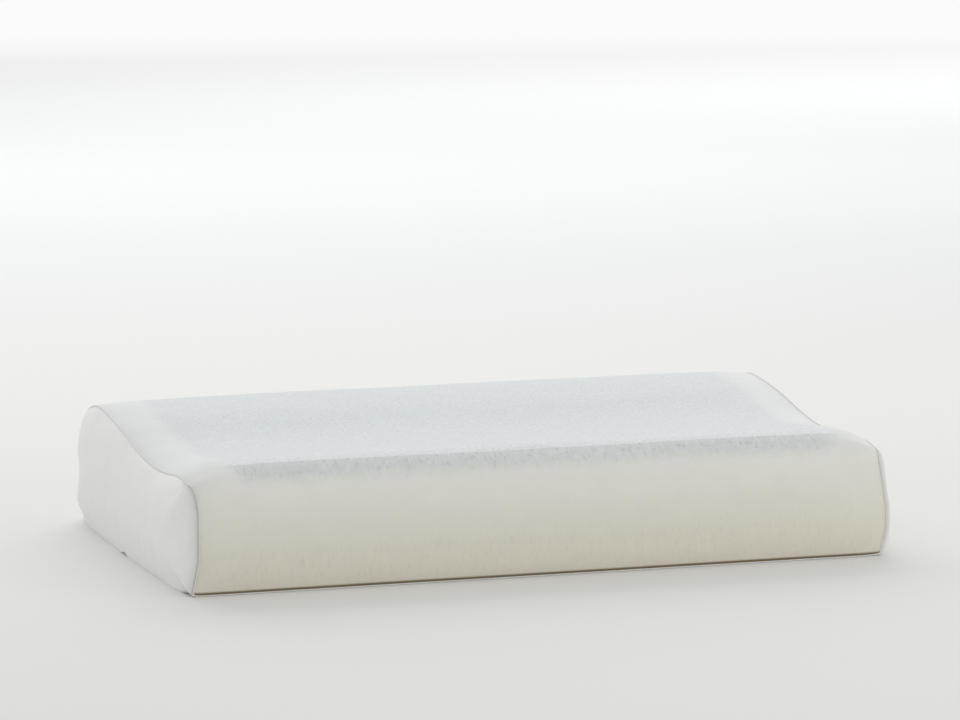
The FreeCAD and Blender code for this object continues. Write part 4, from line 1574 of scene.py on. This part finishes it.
def archPlate(name, x0, x1, y0, y1):
    # The slider's bridge: a staple seen from the side, drawn out across the zip.
    wide = sliderForm["bridgeWidth"]
    outer, inner = (archSide(x0, x1, y0, y1, inset) for inset in (0, sliderForm["bridgeThick"]))
    verts = [(x, y, zipZ + half) for half in (-wide / 2, wide / 2) for x, y in outer + inner]
    count, rows = len(outer), 2 * len(outer)
    faces = []
    for i in range(count - 1):
        faces.append((i, i + 1, count + i + 1, count + i))
        faces.append((rows + i + 1, rows + i, rows + count + i, rows + count + i + 1))
        faces.append((i + 1, i, rows + i, rows + i + 1))
        faces.append((count + i, count + i + 1, rows + count + i + 1, rows + count + i))
    for i in (0, count - 1):
        faces.append((i, count + i, rows + count + i, rows + i))
    item = meshObject(name, verts, faces)
    weldMesh(item.data)
    item = rimmed(item, sliderForm["bevel"])
    item.data.materials.append(finish["zip_metal"])
    return item


def sliderPiece():
    form, x0, x1 = sliderForm, sliderLow.x, sliderHigh.x
    half, middle, neckHalf = (sliderHigh.z - sliderLow.z) / 2, (x0 + x1) / 2, form["neckThick"] / 2
    innerFar = sliderLow.y + form["plate"]
    outerNear = coilHigh.y + form["clearance"]
    outerFar, flangeNear = outerNear + form["plate"], tapeHigh.y + form["clearance"]
    plate, deep = wedge(x0, x1, half), form["overlap"]
    post = roundedBox(
        x1 - form["neck"], x1 - form["neckIn"], zipZ - neckHalf, zipZ + neckHalf, form["neckCorner"],
    )
    pieces = [
        metalPlate("outerPlate", [plate], outerNear, outerFar, form["bevel"]),
        metalPlate("innerPlate", [plate], sliderLow.y, innerFar, form["bevel"]),
        metalPlate("neckPost", [post], innerFar - deep, outerNear + deep, form["smallBevel"]),
    ]
    inset = wedge(x0 + form["flangeIn"], x1 - form["flangeIn"], half)
    for side in (-1, 1):
        rim = [(x, z) for x, z in inset if (z - zipZ) * side > form["neckThick"]]
        rim.sort(key=lambda corner: corner[0])
        inner = [(x, z - side * form["flange"]) for x, z in rim]
        pieces.append(metalPlate(
            "flange", [rim + inner[::-1]], flangeNear, outerNear + deep, form["smallBevel"],
        ))
    pieces.append(archPlate(
        "bridge", middle - form["bridgeHalf"], middle + form["bridgeHalf"], outerFar - deep, sliderHigh.y,
    ))
    return joinMeshes("slider", pieces)


pullForm = {
    "bridgeGap": 0.3 * mm,
    "eyeRim": 0.9 * mm,
    "barReach": 0.5 * mm,
    "barChamfer": 0.3 * mm,
    "eyeBack": 0.55 * mm,
    "eyeCorner": 0.4 * mm,
    "shoulder": 9 * mm,               # length over which the tab widens
    "tipRound": 2.2 * mm,
    "holeIn": 2.4 * mm,
    "holeEnd": 5.6 * mm,
    "holeHalf": 1.6 * mm,
    "holeCorner": 1.5 * mm,
    "bevel": 0.25 * mm,
}


def pullPiece(form):
    # A long tab: an eye round the bridge's foot, a narrow waist, and a wide end with a hole.
    x0, half, middle = pullLow.x, (pullHigh.z - pullLow.z) / 2, (sliderLow.x + sliderHigh.x) / 2
    eyeHalf = sliderForm["bridgeWidth"] / 2 + form["bridgeGap"]
    armHalf = eyeHalf + form["eyeRim"]
    eyeEnd = middle - sliderForm["bridgeHalf"] - form["eyeRim"]
    barEnd, chamfer, tipX = middle + form["barReach"], form["barChamfer"], x0 + form["tipRound"]
    upper = [(barEnd, zipZ + armHalf - chamfer), (barEnd - chamfer, zipZ + armHalf)]
    for t in np.arange(11) / 10:
        ease = t * t * (3 - 2 * t)
        upper.append((eyeEnd - form["shoulder"] * t, zipZ + armHalf + (half - armHalf) * ease))
    upper.append((tipX, zipZ + half))
    tip = []
    for step in range(1, 8):
        turn = math.pi / 2 + step * math.pi / 8
        tip.append((tipX + form["tipRound"] * math.cos(turn), zipZ + half * math.sin(turn)))
    outer = upper + tip + [(x, 2 * zipZ - z) for x, z in upper[::-1]]
    eye = roundedBox(
        eyeEnd, middle - form["eyeBack"], zipZ - eyeHalf, zipZ + eyeHalf, form["eyeCorner"],
    )
    hole = roundedBox(
        x0 + form["holeIn"], x0 + form["holeEnd"], zipZ - form["holeHalf"], zipZ + form["holeHalf"],
        form["holeCorner"],
    )
    return flatPlate("pull", [outer, eye, hole], pullLow.y, pullHigh.y, form["bevel"])


dress(sliderPiece(), "zip_slider", "zip_metal", "slider")
dress(pullPiece(pullForm), "zip_pull", "zip_metal", "pull")
note("slider and pull")


# Blank care label, sewn along its top edge and lying against the back.
labelForm = {
    "steps": (28, 16),
    "lift": 0.15 * mm,
    "thick": 0.25 * mm,
    "curl": 1.6 * mm,                 # free bottom edge off the cover
    "stitchDown": 1.6 * mm,           # row of stitches in from the top edge
    "stitchIn": 1.5 * mm,
    "stitchPitch": 2.2 * mm,
    "stitchLength": 1.6 * mm,
    "stitchThread": 0.2 * mm,
    "threadLift": 0.15 * mm,
    "rayStart": 60 * mm,              # behind the label, to find the cover
}
coverTree = BVHTree.FromPolygons(
    [tuple(vert.co) for vert in wrapPanel.data.vertices],
    [tuple(face.vertices) for face in wrapPanel.data.polygons],
)


def onCover(x, z, lift):
    start = Vector((x, labelHigh.y + labelForm["rayStart"], z))
    surfaceY = coverTree.ray_cast(start, Vector((0, -1, 0)))[0].y
    return x, surfaceY + labelForm["lift"] + labelForm["thick"] + lift, z


def labelPieces():
    across, down = labelForm["steps"]
    verts = []
    for side in np.arange(across + 1) / across:
        for drop in np.arange(down + 1) / down:
            bend = labelForm["curl"] * drop ** 2 * (0.55 + 0.45 * math.cos((side - 0.3) * 2.4))
            x = labelLow.x + (labelHigh.x - labelLow.x) * side
            verts.append(onCover(x, labelHigh.z - (labelHigh.z - labelLow.z) * drop, bend))
    faces = [face[::-1] for face in gridFaces(across + 1, down + 1)]
    item = walled(meshObject("careLabel", verts, faces), labelForm["thick"])
    places = np.linspace(labelLow.x + labelForm["stitchIn"], labelHigh.x - labelForm["stitchIn"], 30)
    z = labelHigh.z - labelForm["stitchDown"]
    line = [onCover(x, z, labelForm["threadLift"]) for x in places]
    return item, growStitches("labelStitches", [line], labelForm)


careLabel, labelRow = labelPieces()
dress(careLabel, "care_label", "label_satin")
dress(labelRow, None, "sewing_thread")
note("label")

# Floor, light and camera.
cameraPlace = {
    "lens": 210,
    "sensor": 36,
    "turn": 17.75,                    # degrees to the right of the pillow's own depth
    "tilt": 8.75,                     # degrees down
    "place": (-1.1991, -3.7566, 0.7351),
}
camera = bpy.data.objects.new("camera", bpy.data.cameras.new("camera"))
scene.collection.objects.link(camera)
camera.data.lens = cameraPlace["lens"]
camera.data.sensor_width = cameraPlace["sensor"]
camera.location = cameraPlace["place"]
camera.rotation_euler = (math.radians(90 - cameraPlace["tilt"]), 0, math.radians(-cameraPlace["turn"]))
scene.camera = camera

studio = {
    # floor colours and glow are painted light: darker behind the pillow, brighter and glowing far off
    "near": (0.795, 0.795, 0.77, 1),
    "middle": (0.69, 0.70, 0.70, 1),
    "far": (0.955, 0.96, 0.96, 1),
    "middleReach": (0.3, 1.7),
    "farReach": (2.4, 3.5),
    "glowReach": (2.65, 3.9),
    "glow": 0.25,
    "backwards": (0.305, 0.952, 0),   # level direction in which the floor changes
    "floorHalf": 30,
    "sky": 0.74,
    "panelPower": 40.0,
    "panelSize": (3.5, 2.2),
    "panelPlace": (0.3, 2.35, 1.6),
    "fillPower": 3.0,
    "fillSize": (0.8, 0.8),
    "fillPlace": (1.25, -1.2, 0.4),
}


def floorMaterial():
    # Pale paper, painted darker behind the pillow, then brighter and glowing towards the far end, as painted
    # light standing in for the studio's backdrop.
    material, tree, place = newMaterial(
        "paperFloor", Roughness=0.9, Specular_IOR_Level=0.1, Emission_Strength=1,
    )
    away = addNode(tree, "ShaderNodeVectorMath", {
        0: place, 1: studio["backwards"],
    }, operation="DOT_PRODUCT")["Value"]
    color = blendColor(tree, ramp(tree, away, *studio["middleReach"]), studio["near"], studio["middle"])
    color = blendColor(tree, ramp(tree, away, *studio["farReach"]), color, studio["far"])
    grain = times(tree, noiseValue(tree, place, 40.0, 4.0), 0.01)
    glow = times(tree, ramp(tree, away, *studio["glowReach"]), studio["glow"])
    return finishMaterial(
        material, Base_Color=shade(tree, color, grain, 0.995), Emission_Color=shade(tree, (1, 1, 1), glow),
    )


def softLight(name):
    light = bpy.data.lights.new(name, "AREA")
    light.shape = "RECTANGLE"
    light.size, light.size_y = studio[name + "Size"]
    light.energy = studio[name + "Power"]
    item = bpy.data.objects.new(name, light)
    item.location = studio[name + "Place"]
    item.rotation_euler = (-Vector(item.location)).to_track_quat("-Z", "Y").to_euler()
    item.visible_camera = False
    scene.collection.objects.link(item)


softLight("panel")
softLight("fill")
far = studio["floorHalf"]
corners = [(-far, -far, 0), (far, -far, 0), (far, far, 0), (-far, far, 0)]
floor = meshObject("floor", corners, [(0, 1, 2, 3)])
floor.data.materials.append(floorMaterial())

world = bpy.data.worlds.new("studio")
scene.world = world
world.use_nodes = True
background = world.node_tree.nodes["Background"].inputs
background["Color"].default_value = (1, 1, 1, 1)
background["Strength"].default_value = studio["sky"]
scene.view_settings.view_transform = "Standard"
